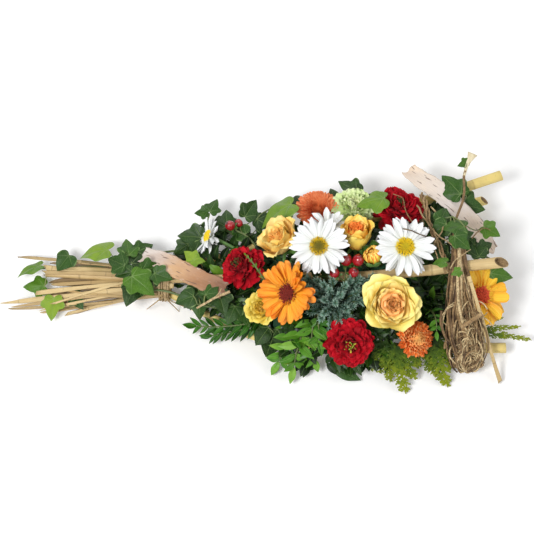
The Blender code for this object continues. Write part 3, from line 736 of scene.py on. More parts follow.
given, result = group("fuzz", "Shader", "Colour", Color="Middle, Rim, Deep")
colour = graded(attribute("rank"), (0.6, given["Middle"]), (1.0, given["Rim"]))
colour = mixed(attribute("tone") * 0.3, colour, given["Rim"])
feed(result, mixed(fade(along(), 0.0, 0.8, 1.0, 0.0), colour, given["Deep"]))
FUZZ = net  # Disc florets, from the middle of the disc to its rim, with painted shade down between them


def ray_finish(name, *colours):
    return dressed(material(name, Roughness=0.5), RAY, (0.5, 0.0008), *colours, 0.55)


def fuzz_finish(name, *colours):
    return dressed(material(name, Roughness=0.75), FUZZ, None, *colours)


orange_ray = ray_finish("gerbera_orange", (0.97, 0.58, 0.05), (0.96, 0.44, 0.025), (0.93, 0.27, 0.014),
                        (0.88, 0.18, 0.01))
yellow_ray = ray_finish("gerbera_yellow", (0.95, 0.40, 0.02), (0.98, 0.66, 0.035), (0.98, 0.68, 0.035),
                        (0.93, 0.36, 0.02))
brown_fuzz = fuzz_finish("gerbera_brown_disc", (0.20, 0.016, 0.010), (0.42, 0.045, 0.012), (0.05, 0.004, 0.002))
coral_fuzz = fuzz_finish("gerbera_coral_disc", (0.72, 0.08, 0.035), (0.85, 0.20, 0.05), (0.30, 0.02, 0.01))
gerbera_rays = petal_set("gerbera_ray", (0.20, 0.31, 0.40, 0.46, 0.50, 0.52, 0.51, 0.45, 0.26), "cup curl",
                         (-0.12, -0.35), (0.14, -0.10), (-0.10, -0.60), (0.05, 0.15),
                         rows=9, columns=6, lift=0.15, ribs=2, rib=0.03, point=0.04)


def gerbera(*place, petals, ray, fuzz, disc, tilt, wide=0.25):
    head = Head(*place)
    radius = head.radius
    length, width, dome = radius * 0.78, radius * wide, radius * disc
    head.whorl("rays", gerbera_rays, ray, petals, radius * 0.22, 0.001, tilt + 0.10, (length, width, length),
               loose=0.10, ruffle=0.004)
    head.whorl("under_rays", gerbera_rays, ray, petals - 2, radius * 0.20, -0.001, tilt - 0.10,
               (length, width, length), loose=0.12, ruffle=0.004, seed=31)
    head.whorl("inner_rays", gerbera_rays, ray, 34, radius * 0.20, 0.002, [0.75, 0.5],
               [(radius * 0.20, 0.0022, 0.004), (radius * 0.26, 0.0024, 0.004)], spiral=True, loose=0.2, seed=5)
    head.whorl("disc", florets, fuzz, 360, [0.0002, dome], [dome * 0.24, dome * 0.06], [1.5, 0.8],
               [(0.0032, 0.0016, 0.0016), (0.0052, 0.0018, 0.0018)], spiral=True, spread=0.5, droop=1.5, loose=0.18)
    head.turned("receptacle", dome, ((-1.0, 0.20), (-0.75, 0.85), (-0.2, 1.0), (0.06, 0.95), (0.24, 0.5),
                                     (0.28, 0.12)), 20, stem_green, fuzz)
    head.stem(radius * 0.38)


gerbera("gerbera_left", "gerbera_orange_petal", 0.0405, (-58, -20, 34), (-62, -22, 66), (-74, -34, 122),
        (-0.60, -0.30, 0.74), 4, petals=23, ray=orange_ray, fuzz=brown_fuzz, disc=0.31, tilt=0.34)
gerbera("gerbera_right", "gerbera_yellow_petal", 0.040, (66, -10, 42), (98, -11, 50), (170.5, -15.5, 68),
        (0.40, -0.20, 0.89), 9, petals=15, ray=yellow_ray, fuzz=coral_fuzz, disc=0.27, tilt=0.06, wide=0.37)

# ---------------------------------------------------------------------------
# Roses. Broad petals cupped round each other in a spiral, whose lips roll back as
# they open: one large open yellow rose, an apricot one seen from its side, a small
# tall one with an orange heart, a spray rose, and one closed bud with its sepals.

given, result = group("rose_petal", "Shader", "Colour, Height", Color="Heart, Middle, Outside, Lip")
rank = attribute("rank")
veins = grain(coords("UV"), 9, 3, 0.6, (3.0, 0.5, 1))
colour = graded(rank, (0.0, given["Heart"]), (0.45, given["Middle"]), (0.95, given["Outside"]))
colour = mixed(fade(along(), 0.55, 1.0, 0.0, 0.7) * fade(rank, 0.0, 0.4, 0.25, 1.0), colour, given["Lip"])
colour = mixed(fade(along(), 0.0, 0.5, 0.6, 0.0), colour, given["Heart"])
feed(result, mixed(attribute("tone") * veins * 0.5, colour, given["Middle"]), veins)
ROSE_PETAL = net  # Colour by how far out the petal is, paler at its lip, with faint veins


def rose_finish(name, *colours):
    return dressed(material(name, Roughness=0.5), ROSE_PETAL, (0.25, 0.001), *colours)


rose_lemon = rose_finish("rose_lemon", (1.0, 0.56, 0.22), (1.0, 0.70, 0.22), (0.98, 0.86, 0.24), (0.98, 0.92, 0.36))
rose_flame = rose_finish("rose_flame", (1.0, 0.26, 0.045), (1.0, 0.44, 0.05), (1.0, 0.72, 0.12), (1.0, 0.82, 0.22))
rose_peach = rose_finish("rose_peach", (0.96, 0.52, 0.14), (0.98, 0.68, 0.14), (0.97, 0.66, 0.24), (0.99, 0.84, 0.32))
rose_gold = rose_finish("rose_gold", (0.66, 0.42, 0.03), (0.84, 0.63, 0.06), (0.86, 0.69, 0.11), (0.90, 0.79, 0.22))

ROSE_OUTLINE = (0.14, 0.28, 0.40, 0.49, 0.55, 0.57, 0.54, 0.44, 0.22)
rose_petals = petal_set("rose_petal", ROSE_OUTLINE, "curl wrap lip frill point phase",
                        (1.2, 1.05, 2.4, 0.02, -0.05, 0), (1.0, 0.95, 3.2, 0.03, 0.06, 1),
                        (1.3, 1.10, 2.0, 0.025, 0.08, 2), (0.9, 0.90, 3.6, 0.04, 0.0, 3),
                        rows=11, columns=10, lift=-0.45, frills=2.0)
heart_petals = petal_set("heart_petal", ROSE_OUTLINE, "curl wrap lip phase", (0.35, 1.5, 2.6, 0), (0.30, 1.35, 3.6, 2),
                         (0.40, 1.6, 3.0, 4), rows=10, columns=10, lift=-0.1, frill=0.015)
sepals = hidden_set("sepals", petal("sepal", (0.5, 0.5, 0.42, 0.30, 0.16, 0.02), rows=6, columns=4, curl=-0.6,
                                    wrap=0.6))


def rose(*place, finish, count=26, tilts=(1.35, 0.55), base=0.62, length=(0.66, 0.90), width=(0.42, 1.10), hearts=13,
         ruffle=0.003, reach=0.18):
    head = Head(*place)
    r = head.radius
    head.whorl("petals", rose_petals, finish, count, [r * 0.10, r * reach], [-r * base, -r * (base - 0.02)], [*tilts],
               [(r * length[0], r * width[0], r * width[0]), (r * length[1], r * width[1], r * length[1])],
               spiral=True, ruffle=ruffle, ruffle_scale=55)
    heart = head.whorl("heart", heart_petals, finish, hearts, [0.0004, r * 0.13], [-r * (base - 0.02), -r * base],
                       [1.53, 1.36], [(r * (base + 0.08), r * 0.17, r * 0.17), (r * (base + 0.15), r * 0.60, r * 0.60)],
                       spiral=True, loose=0.06, ruffle=ruffle * 0.3, seed=2)
    for rank in heart.data.attributes["rank"].data:  # All of it wears the colour of the heart
        rank.value = 0.0
    head.turned("core", r, ((0.10 - base, 0.05), (-0.30, 0.30), (-0.14, 0.36), (-0.07, 0.26), (-0.03, 0.10)), 18,
                finish)
    head.turned("hip", r, ((-base - 0.32, 0.06), (-base - 0.24, 0.15), (-base - 0.08, 0.20), (-base + 0.06, 0.17),
                           (-base + 0.10, 0.05)), 14, stem_green)
    head.whorl("sepals", sepals, stem_green, 5, r * 0.14, -r * base, -0.15, (r * 0.62, r * 0.2, r * 0.2), loose=0.15)
    head.stem(r * (base + 0.3), 0.85)


rose("rose_big", "rose_yellow_petal", 0.0405, (40, -20, 34), (42, -23, 66), (53, -54, 134), (0.08, -0.34, 0.93), 6,
     finish=rose_lemon, count=36, tilts=(1.34, 0.50), width=(0.50, 1.14), hearts=24)
rose("rose_apricot", "rose_apricot_petal", 0.033, (-68, 22, 34), (-71, 25, 66), (-90, 49, 112), (-0.50, 0.24, 0.80), 5,
     finish=rose_peach, count=24, tilts=(1.40, 0.84), base=0.84, length=(0.88, 1.16), width=(0.5, 1.18))
rose("rose_small", "rose_yellow_petal", 0.030, (10, 26, 36), (10, 28, 66), (10, 50, 130), (-0.04, 0.40, 0.91), 7,
     finish=rose_flame, tilts=(1.52, 1.26), base=0.95, length=(0.98, 1.16), width=(0.6, 1.16), hearts=18, reach=0.34)
rose("spray_rose", "rose_yellow_petal", 0.024, (-70, -26, 40), (-97, -32, 52), (-110, -39, 86), (-0.35, -0.25, 0.90),
     12, finish=rose_gold, count=32, ruffle=0.007)

bud_streaked, shader = material("bud_streaked", Roughness=0.45)
colour = graded(along(), (0.0, (0.45, 0.50, 0.03)), (0.35, (0.95, 0.68, 0.05)), (1.0, (0.98, 0.80, 0.16)))
streaks = fade(ribs(1.3, 1.2, 2.0), 0.1, 0.5, 1.0, 0.0) * fade(along(), 0.3, 0.8, 0.3, 1.0)
feed(shader, Base_Color=mixed(streaks, colour, (0.90, 0.16, 0.015)))
bud_petals = petal_set("bud_petal", (0.2, 0.4, 0.5, 0.52, 0.46, 0.32, 0.08), "curl", (1.9,), (2.2,), lift=-0.55,
                       wrap=0.8)
bud = Head("yellow_bud", "rose_yellow_petal", 0.012, (30, 30, 36), (31, 28, 66), (32.2, 16.5, 122),
           (-0.42, 0.02, 0.90), 3, spin=0.4)
BUD_LIFT = 0.001
bud_at = Matrix.Translation((0, 0, BUD_LIFT)) @ bud.place
bud.whorl("petals", bud_petals, bud_streaked, 17, [0.0008, 0.0046], [-0.013, -0.0125], [1.45, 1.00],
          [(0.026, 0.012, 0.012), (0.0365, 0.0245, 0.0240)], spiral=True, loose=0.05, place=bud_at)
bud.whorl("sepals", bud_petals, stem_green, 7, [0.0056, 0.0058], -0.0135, [0.88, 0.78], (0.030, 0.0155, 0.017),
          loose=0.12, seed=5, place=bud_at)
bud.stem(0.014)

# ---------------------------------------------------------------------------
# Zinnias, chrysanthemums and a carnation. Red zinnias have rows of broad velvety
# rays that lie over each other; the chrysanthemums have very many narrow ones, flat
# coral at the back and incurved orange in front; the carnation is ruffled and green.

given, result = group("double_ray", "Shader", "Colour, Height", Color="Near, Middle, Tip, Centre")
colour = graded(along(), (0.0, given["Near"]), (0.5, given["Middle"]), (1.0, given["Tip"]))
colour = mixed(attribute("tone") * 0.55, colour, given["Near"])
feed(result, mixed(fade(attribute("rank"), 0.0, 0.35, 0.75, 0.0), colour, given["Centre"]), ribs(1.4, 1.2, 2.0))
DOUBLE_RAY = net  # Colour along the ray, and another towards the flower's centre


def double_finish(name, *colours, roughness=0.65, sheen=0.0):
    started = material(name, Roughness=roughness, Sheen_Weight=sheen, Sheen_Roughness=0.4, Specular_IOR_Level=0.3)
    return dressed(started, DOUBLE_RAY, (0.45, 0.0008), *colours)


# Zinnia rays are painted much darker towards their bases and the flower's centre: painted shade where they lie under
# each other
zinnia_red = double_finish("zinnia_red", (0.16, 0.0, 0.004), (0.52, 0.0, 0.010), (0.64, 0.0, 0.014),
                           (0.30, 0.0, 0.006), roughness=0.75, sheen=0.03)
mum_coral = double_finish("mum_coral", (0.80, 0.10, 0.028), (0.97, 0.22, 0.06), (1.0, 0.42, 0.18), (0.97, 0.30, 0.10))
mum_orange = double_finish("mum_orange", (0.94, 0.17, 0.018), (1.0, 0.29, 0.045), (1.0, 0.58, 0.22), (1.0, 0.60, 0.18))
carnation_green = double_finish("carnation_green", (0.42, 0.60, 0.14), (0.68, 0.82, 0.35), (0.84, 0.92, 0.56),
                                (0.99, 0.97, 0.68))
zinnia_heart = fuzz_finish("zinnia_heart", (0.34, 0.44, 0.04), (0.62, 0.52, 0.05), (0.06, 0.09, 0.01))
zinnia_dark_heart = fuzz_finish("zinnia_dark_heart", (0.05, 0.06, 0.008), (0.14, 0.10, 0.01), (0.02, 0.004, 0.002))

zinnia_rays = petal_set("zinnia_ray", (0.20, 0.36, 0.46, 0.50, 0.50, 0.46, 0.34, 0.10), "cup curl frill phase",
                        (-0.25, -0.5, 0.06, 0.0), (0.22, -0.1, 0.08, 1.7), (-0.15, 0.35, 0.09, 3.4),
                        (0.30, 0.6, 0.05, 5.1), rows=7, lift=0.1, frills=1.5, point=-0.03, ribs=2, rib=0.025)
mum_rays = petal_set("mum_ray", (0.30, 0.44, 0.50, 0.51, 0.46, 0.30), "curl", (0.5,), (0.8,), (0.3,), rows=6,
                     columns=4, lift=-0.2, wrap=0.9)
ball_rays = petal_set("ball_ray", (0.28, 0.42, 0.49, 0.52, 0.52, 0.44), "curl", (2.1,), (2.5,), (1.8,), rows=7,
                      columns=5, lift=-0.45, wrap=1.15, cup=0.1)
carnation_rays = petal_set("carnation_ray", (0.08, 0.14, 0.26, 0.42, 0.54, 0.58, 0.50), "curl phase", (0.3, 0.0),
                           (-0.3, 2.1), (0.6, 4.2), rows=7, columns=12, frill=0.13, frills=3.5, point=0.12)


def double_flower(*place, rays, finish, count, radii, heights, tilts, sizes, spread=0.7, loose=0.18, ruffle=0.003,
                  ruffle_scale=70):
    """A flower of many rays in a spiral; its measures are shares of its radius, at the centre and outside."""
    head = Head(*place)
    r = head.radius
    head.whorl("rays", rays, finish, count, [r * value for value in radii], [r * value for value in heights], [*tilts],
               [tuple(r * value for value in size) for size in sizes], spiral=True, spread=spread, droop=1.6,
               loose=loose, ruffle=ruffle, ruffle_scale=ruffle_scale)
    head.turned("calyx", r, ((-0.62, 0.08), (-0.50, 0.30), (-0.30, 0.42), (-0.05, 0.34), (heights[0] - 0.05, 0.10)),
                16, stem_green, finish, change=-0.2)
    head.stem(r * 0.55)
    return head


for node, radius, root, leave, face, facing, seed, count, fuzz in (
        ("zinnia_left", 0.030, (-66, -5, 38), (-82, -6, 66), (-133, 14, 94), (-0.45, 0.0, 0.89), 3, 96,
         zinnia_dark_heart),
        ("zinnia_back", 0.034, (46, 30, 36), (49, 35, 66), (68, 97, 94), (0.05, 0.10, 0.96), 8, 92, zinnia_dark_heart),
        ("zinnia_front", 0.032, (6, -22, 36), (6, -30, 66), (2, -86, 84), (0.0, -0.55, 0.83), 14, 100, zinnia_heart)):
    head = double_flower(node, "zinnia_petal", radius, root, leave, face, facing, seed, rays=zinnia_rays,
                         finish=zinnia_red, count=count, radii=(0.08, 0.50), heights=(0.26, -0.30),
                         tilts=(1.30, -0.20), sizes=((0.32, 0.26, 0.3), (0.56, 0.48, 0.5)))
    head.whorl("heart", florets, fuzz, 26, [0.0002, radius * 0.11], [radius * 0.40, radius * 0.34], [1.5, 0.9],
               [(0.0050, 0.0016, 0.0016), (0.0065, 0.0022, 0.0022)], spiral=True, spread=0.5, loose=0.40)
double_flower("mum_back", "mum_petal", 0.033, (-46, 29, 36), (-47, 35, 66), (-35, 99, 88), (0.0, 0.16, 0.90), 5,
              rays=mum_rays, finish=mum_coral, count=420, radii=(0.02, 0.44), heights=(0.06, -0.12), tilts=(1.40, 0.0),
              sizes=((0.20, 0.075, 0.075), (0.52, 0.14, 0.10)), spread=0.60, loose=0.05, ruffle=0.0008)
double_flower("mum_front", "mum_petal", 0.027, (62, -22, 36), (64, -28, 66), (86, -79, 80), (0.15, -0.35, 0.92), 6,
              rays=ball_rays, finish=mum_orange, count=300, radii=(0.02, 0.52), heights=(0.34, -0.42),
              tilts=(1.45, -0.20), sizes=((0.34, 0.13, 0.13), (0.54, 0.24, 0.24)), spread=0.52, loose=0.09,
              ruffle=0.0008)
double_flower("green_carnation", "carnation_petal", 0.028, (0, 31, 36), (1, 37, 66), (11, 99, 98), (0.04, 0.06, 0.95),
              9, rays=carnation_rays, finish=carnation_green, count=38, radii=(0.04, 0.20), heights=(-0.25, -0.42),
              tilts=(1.45, 0.12), sizes=((0.56, 0.46, 0.44), (0.90, 0.96, 0.66)), loose=0.20, ruffle=0.004,
              ruffle_scale=90)

# ---------------------------------------------------------------------------
# Ivy. Trails of lobed leathery leaves with pale veins, each leaf on its own thin
# stalk: dark old leaves and a few large light young ones. Trails lie over the tail
# and come out of the foam at the back, the left and the mouth.

given, result = group("strands", "Geometry", "Geometry", Geometry="Geometry", Int="Sides, Seed",
                      Float="Waviness, Wave Scale", Material="Finish")
wavy = ruffled(given["Geometry"], given["Waviness"], given["Wave Scale"], given["Seed"])
curves = marked(put("MeshToCurve", Mesh=wavy), "along", put("SplineParameter")["Length"], "POINT")
thick = put("InputNamedAttribute", Name="thick", data_type="FLOAT")
profile = put("CurvePrimitiveCircle", Resolution=given["Sides"], Radius=1.0)
sweep = put("CurveToMesh", Curve=curves, Profile_Curve=profile, Scale=thick, Fill_Caps=True)
feed(result, put("SetMaterial", Geometry=put("RealizeInstances", sweep), Material=given["Finish"]))
STRANDS = net  # Lines, with a radius called thick at each point, made into round strands


def strands(name, routes, finish, slot, *nodes, sides=6, waviness=0.0, wave_scale=60.0, seed=1):
    """Round strands along routes, each (points, (radius at its start, radius at its end), tone)."""
    verts, edges, thick, tones = [], [], [], []
    for points, (first, last), tone in routes:
        count = len(points)
        edges += [(i, i + 1) for i in range(len(verts), len(verts) + count - 1)]
        verts += points
        thick += [first + (last - first) * i / (count - 1) for i in range(count)]
        tones += [tone] * count
    obj = grown(name, STRANDS, verts, edges, {"thick": thick, "tone": tones}, Sides=sides, Waviness=waviness,
                Wave_Scale=wave_scale, Seed=seed, Finish=finish)
    return ride(obj, slot, *nodes)


given, result = group("leaf_planter", "Geometry", "Geometry", Geometry="Geometry", Collection="Leaves", Int="Seed",
                      Float="Ruffle, Ruffle Scale", Material="Finish")
aim, size = (put("InputNamedAttribute", Name=name, data_type="FLOAT_VECTOR") for name in ("aim", "size"))
PLANTER = realised(stood(given["Geometry"], "Leaves", given, aim, size), given, result)  # Leaves set on points


def aimed(heading, rise):
    """The rotation that points +X along heading with +Z towards rise."""
    heading = Vector(heading).normalized()
    rise = square_to(heading, Vector(rise))
    return tuple(Matrix((heading, rise.cross(heading), rise)).transposed().to_euler())


def sow(name, spots, leaves, finish, slot, *nodes, ruffle=0.0, ruffle_scale=60.0, seed=1):
    """Leaves at spots, each (place, heading, rise, (length, width, length), tone)."""
    places, leads, rises, sizes, tones = zip(*spots)
    features = {"aim": [aimed(lead, rise) for lead, rise in zip(leads, rises)], "size": sizes, "tone": tones}
    obj = grown(name, PLANTER, places, features=features, Leaves=leaves, Ruffle=ruffle, Ruffle_Scale=ruffle_scale,
                Seed=seed, Finish=finish)
    return ride(obj, slot, *nodes)


# Half outlines of leaves, from the notch at the stalk round to the tip
IVY_EDGE = ((0.03, 0.0), (-0.06, 0.10), (-0.10, 0.22), (-0.05, 0.34), (0.05, 0.40), (0.14, 0.40), (0.24, 0.50),
            (0.36, 0.54), (0.45, 0.50), (0.50, 0.38), (0.54, 0.29), (0.64, 0.25), (0.76, 0.18), (0.90, 0.08),
            (1.0, 0.0))
IVY_YOUNG = ((0.04, 0.0), (-0.05, 0.12), (-0.10, 0.26), (-0.04, 0.40), (0.10, 0.50), (0.26, 0.54), (0.38, 0.50),
             (0.48, 0.42), (0.58, 0.36), (0.70, 0.30), (0.82, 0.20), (0.92, 0.10), (1.0, 0.0))
PLAIN_EDGE = ((0.0, 0.0), (0.03, 0.09), (0.12, 0.18), (0.28, 0.26), (0.45, 0.29), (0.62, 0.25), (0.80, 0.15),
              (0.92, 0.06), (1.0, 0.0))


def leaf(name, edge, fold, droop, wave, waves, phase, hub=0.16, steps=2, shares=(0.22, 0.45, 0.70, 0.88, 1.0)):
    """A leaf 1 long from its stalk at the origin along +X, made of rings out from near its stalk."""
    fine = smooth([(x, y, 0) for x, y in edge], steps)
    outline = fine + [Vector((p.x, -p.y, 0)) for p in fine[-2:0:-1]]
    count = len(outline)
    centre = Vector((hub, 0, 0))
    verts = [centre.copy(), *(centre.lerp(point, share) for share in shares for point in outline)]
    faces = [(1 + (i + 1) % count, 1 + i, 0) for i in range(count)]
    faces += [(a + (i + 1) % count, a + count + (i + 1) % count, a + count + i, a + i)
              for a in range(1, 1 + (len(shares) - 1) * count, count) for i in range(count)]
    uvs = [(at.x, at.y + 0.5) for at in verts]
    for at in verts:
        reach = (at - centre).length
        around = math.atan2(at.y, at.x - hub)
        at.z = fold * abs(at.y) - droop * reach * reach + wave * math.cos(around * waves + phase) * reach
    return mesh_object(name, verts, faces, uvs=uvs)


ivy_leaves = hidden_set("ivy_leaves", *(
    leaf(f"ivy_leaf_{n}", edge, fold, droop, wave, 5, n * 1.3)
    for n, (edge, fold, droop, wave) in enumerate(((IVY_EDGE, 0.18, 0.25, 0.05), (IVY_EDGE, -0.10, 0.30, 0.06),
                                                   (IVY_EDGE, 0.28, 0.10, 0.04), (IVY_YOUNG, 0.12, 0.35, 0.05)))))
plain_leaves = hidden_set("plain_leaves", *(
    leaf(f"plain_leaf_{n}", PLAIN_EDGE, fold, droop, wave, 2, n * 1.7, hub=0.4)
    for n, (fold, droop, wave) in enumerate(((0.30, 0.25, 0.03), (0.18, 0.45, 0.05), (0.40, 0.05, 0.03),
                                             (0.25, -0.2, 0.04)))))

given, result = group("leaf_veins", "Shader", "Veins", Float="Width")
x = put("SeparateXYZ", coords("UV")) - 0.05
y = abs(along() - 0.5)
cells = put("TexVoronoi", Vector=coords("UV"), Scale=11.0, feature="DISTANCE_TO_EDGE")["Distance"]
lines = fade(cells, 0.0, 0.05, 0.35, 0.0)
for degrees, length in ((0, 0.95), (52, 0.62), (100, 0.38)):
    c, s = math.cos(math.radians(degrees)), math.sin(math.radians(degrees))
    out = x * c + y * s
    taper = given["Width"] * (1.15 - out / length)
    line = put("MapRange", abs(y * c - x * s), 0.0, taper, 1.0, 0.0, interpolation_type="SMOOTHSTEP")
    lines = calc("MAXIMUM", lines, line * calc("GREATER_THAN", out, -0.01))
feed(result, lines)
VEINS = net  # Veins that fan out from a leaf's stalk, with a fine net between them

given, result = group("leaf_skin", "Shader", "Colour, Roughness, Height", Color="Dark, Middle, Bright, Light, Vein",
                      Float="Vein Share, Roughness, Veins")
mottle = grain(coords(), 90)
colour = graded(attribute("tone") + (mottle - 0.5) * 0.35, (0.05, given["Dark"]), (0.4, given["Middle"]),
                (0.7, given["Bright"]), (0.95, given["Light"]))
feed(result, mixed(given["Veins"] * given["Vein Share"], colour, given["Vein"]),
     fade(mottle, 0.3, 0.7, given["Roughness"] - 0.06, given["Roughness"] + 0.14), mottle * 0.6 - given["Veins"])
LEAF_SKIN = net  # Leathery green by tone, mottled, with veins in relief
VEIN_WIDTH = 0.022


def leaf_finish(name, *values, fanned=False):
    started = material(name, Specular_IOR_Level=0.25)
    if fanned:
        veins = put("Group", VEIN_WIDTH, node_tree=VEINS)
    else:  # One midrib
        veins = fade(abs(along() - 0.5), 0.0, 0.03, 1.0, 0.0)
    return dressed(started, LEAF_SKIN, (0.6, 0.0005), *values, veins)


ivy_green = leaf_finish("ivy_green", (0.007, 0.025, 0.003), (0.024, 0.080, 0.006), (0.085, 0.20, 0.012),
                        (0.23, 0.35, 0.03), (0.26, 0.38, 0.13), 0.5, 0.40, fanned=True)
plane_green = leaf_finish("plane_green", (0.008, 0.040, 0.006), (0.035, 0.14, 0.010), (0.12, 0.32, 0.025),
                          (0.32, 0.50, 0.08), (0.26, 0.44, 0.10), 0.55, 0.36)
stalk_green, shader = material("stalk_green", Roughness=0.5)
feed(shader, Base_Color=graded(attribute("tone"), (0.0, (0.05, 0.09, 0.02)), (0.5, (0.16, 0.20, 0.06)),
                               (1.0, (0.40, 0.44, 0.18))))

# Trail: node, route, and leaves as (x, y, z, length, way it points in degrees, tone), then, for some,
# the way that the leaf's face looks, and the place on another stem that its stalk grows from
IVY_TRAILS = (
    ("ivy_tail_back", ((-212, 60, 44), (-250, 58, 36), (-300, 46, 27), (-350, 46, 22), (-400, 44, 20)),
     ((-327, 61, 40, 44, 178, 0.88, (0, 0.5, 1)), (-367, 46, 40, 27, 235, 0.30),
      (-414, 40, 30, 36, 196, 0.74, (0, 0.9, 1)), (-405, 17, 24, 30, 185, 0.66), (-283, 60, 52, 30, 100, 0.46),
      (-296, 38, 54, 30, 150, 0.30), (-271, 46, 52, 30, 60, 0.14), (-262, 60, 50, 26, 30, 0.22))),
    ("ivy_tail_front", ((-206, -8, 46), (-240, 2, 46), (-290, 10, 22), (-345, 8, 14), (-388, 6, 12)),
     ((-381, -13, 22, 32, 265, 0.90), (-349, -3, 22, 26, 300, 0.25), (-262, 4, 62, 40, 322, 0.58),
      (-276, -2, 48, 32, 250, 0.14), (-252, 28, 58, 28, 20, 0.38), (-286, 22, 54, 24, 190, 0.24),
      (-246, 12, 52, 26, 350, 0.2), (-236, 16, 60, 27, 338, 0.36))),
    ("ivy_left", ((-76, -12, 40), (-97, -15, 46), (-130, -24, 50), (-165, -26, 54), (-190, -25, 64)),
     ((-193, -11, 58, 38, 222, 0.26), (-173, -3, 66, 28, 55, 0.36), (-188, -24, 52, 30, 275, 0.34),
      (-159, -22, 60, 32, 285, 0.18), (-205, -18, 66, 26, 200, 0.22), (-146, -34, 56, 26, 250, 0.24),
      (-128, -40, 52, 24, 290, 0.34))),
    ("ivy_back_left", ((-130, 70, 46), (-160, 92, 42), (-188, 97, 43), (-203, 84, 46)),
     ((-200, 74, 56, 34, 175, 0.20), (-172, 118, 58, 24, 68, 0.36), (-187, 110, 54, 20, 180, 0.40),
      (-201, 42, 64, 22, 140, 0.95), (-190, 36, 64, 18, 350, 0.85), (-186, 52, 56, 30, 20, 0.16),
      (-160, 96, 50, 28, 110, 0.22), (-212, 60, 50, 24, 220, 0.18), (-176, 88, 48, 26, 40, 0.14))),
    ("ivy_back", ((-56, 26, 38), (-60, 45, 48), (-72, 76, 62), (-88, 98, 68), (-98, 110, 64)),
     ((-88, 97, 84, 50, 204, 0.80, (0, 0.75, 1)), (-154, 98, 60, 32, 95, 0.18), (-123, 112, 60, 32, 60, 0.20),
      (-57, 122, 64, 28, 80, 0.16), (-138, 82, 56, 26, 150, 0.30), (-105, 92, 60, 28, 330, 0.14),
      (-72, 112, 60, 24, 30, 0.24))),
    ("ivy_back_mid", ((24, 24, 34), (24, 45, 46), (27, 84, 62), (24, 116, 66), (14, 138, 58)),
     ((33, 97, 117, 39, 188, 0.78, (0.1, 0.4, 1)), (8, 142, 64, 32, 150, 0.22), (46, 128, 64, 28, 45, 0.20),
      (-12, 132, 58, 26, 110, 0.16))),
    ("ivy_mouth_top", ((78, 22, 30), (97, 34, 38), (126, 76, 46), (150, 108, 54), (162, 128, 66)),
     ((142, 136, 82, 40, 128, 0.38), (168, 117, 58, 36, 345, 0.30),
      (153, 152, 112, 15, 205, 0.50, None, (155, 143, 112)), (128, 108, 60, 28, 200, 0.18),
      (150, 90, 58, 28, 20, 0.16))),
    ("ivy_mouth_mid", ((82, 10, 36), (92, 20, 66), (108, 48, 96), (120, 68, 114), (134, 72, 120)),
     ((134, 56, 126, 33, 172, 0.46, (0, 0.6, 1)), (117, 55, 118, 26, 215, 0.34), (141, 30, 134, 28, 322, 0.42),
      (186, 64, 94, 26, 330, 0.60), (113, 4, 130, 19, 172, 0.62, (0, 0.4, 1)), (132, -12, 134, 14, 200, 0.66),
      (124, 78, 112, 24, 60, 0.35), (104, 40, 104, 26, 250, 0.18), (112, 74, 104, 24, 140, 0.24),
      (118, 24, 112, 24, 200, 0.20), (150, 48, 118, 22, 20, 0.26))),
    ("ivy_under_cane", ((74, 4, 30), (98, 6, 36), (140, 20, 56), (172, 34, 78), (188, 30, 80)),
     ((166, 38, 94, 26, 100, 0.20), (198, 12, 72, 32, 350, 0.52), (178, 44, 90, 22, 30, 0.16),
      (156, 44, 92, 22, 190, 0.24), (118, 26, 62, 30, 120, 0.12))),
)
LEAF_SINK = 0.45  # A leaf's place is the middle of it: its stalk joins it this share of its length back
SHORT_STALK = 0.001
LONG_STALK = 0.034


def trail(node, route, leaves, leaf_set, seed, narrow=1.0):
    """A stem with its leaves, and a stalk from the nearest part of the stem to each leaf."""
    chosen = random.Random(node)
    points = smooth(mm(route), 6)
    routes = [(points, (0.0017, 0.0011), 0.2)]
    spots = []
    for x, y, z, length, degrees, tone, *looks in leaves:
        length *= 0.001
        slope = chosen.uniform(-0.25, 0.15)
        heading = Vector((math.cos(math.radians(degrees)), math.sin(math.radians(degrees)), slope)).normalized()
        rise = Vector((chosen.uniform(-0.35, 0.35), -0.3 + chosen.uniform(-0.25, 0.25), 1)).normalized()
        rise = Vector(looks[0]) if looks and looks[0] else rise
        base = Vector((x, y, z)) * 0.001 - heading * length * LEAF_SINK
        spots.append((base, heading, rise, (length, length * narrow * chosen.uniform(0.88, 1.05), length), tone))
        start = Vector(looks[1]) * 0.001 if len(looks) > 1 else min(points, key=lambda point: (point - base).length)
        gap = (base - start).length
        if gap > SHORT_STALK:
            middle = start.lerp(base, 0.5) + Vector((0, 0, 0.12 * gap))
            if gap > LONG_STALK:
                middle = start.lerp(base, 0.75) - Vector((0, 0, 0.018))
            bend = smooth([start, middle, base + heading * length * 0.04], 5)
            routes.append((bend, (0.0008, 0.0006), min(1.0, tone * 0.6 + 0.3)))
    strands(node + "_stems", routes, stalk_green, "ivy_leaf", node, seed=seed)
    sow(node + "_leaves", spots, leaf_set, ivy_green, "ivy_leaf", node, ruffle=0.003, ruffle_scale=45, seed=seed)


for number, (node, route, leaves) in enumerate(IVY_TRAILS):
    trail(node, route, leaves, ivy_leaves, number)
trail("broad_leaf_left", ((-66, -24, 28), (-68, -46, 31), (-82, -54, 36), (-94, -60, 34)),
      ((-95, -64, 30, 40, 250, 0.10), (-82, -60, 40, 30, 300, 0.16), (-106, -57, 38, 30, 235, 0.16)), plain_leaves, 31,
      narrow=1.3)
trail("broad_leaf_front", ((-12, -24, 28), (-12, -46, 33), (-8, -70, 36), (-2, -88, 30)),
      ((-1, -101, 16, 42, 336, 0.34), (-14, -92, 30, 30, 290, 0.16), (12, -98, 34, 26, 300, 0.16)), plain_leaves, 32,
      narrow=0.75)

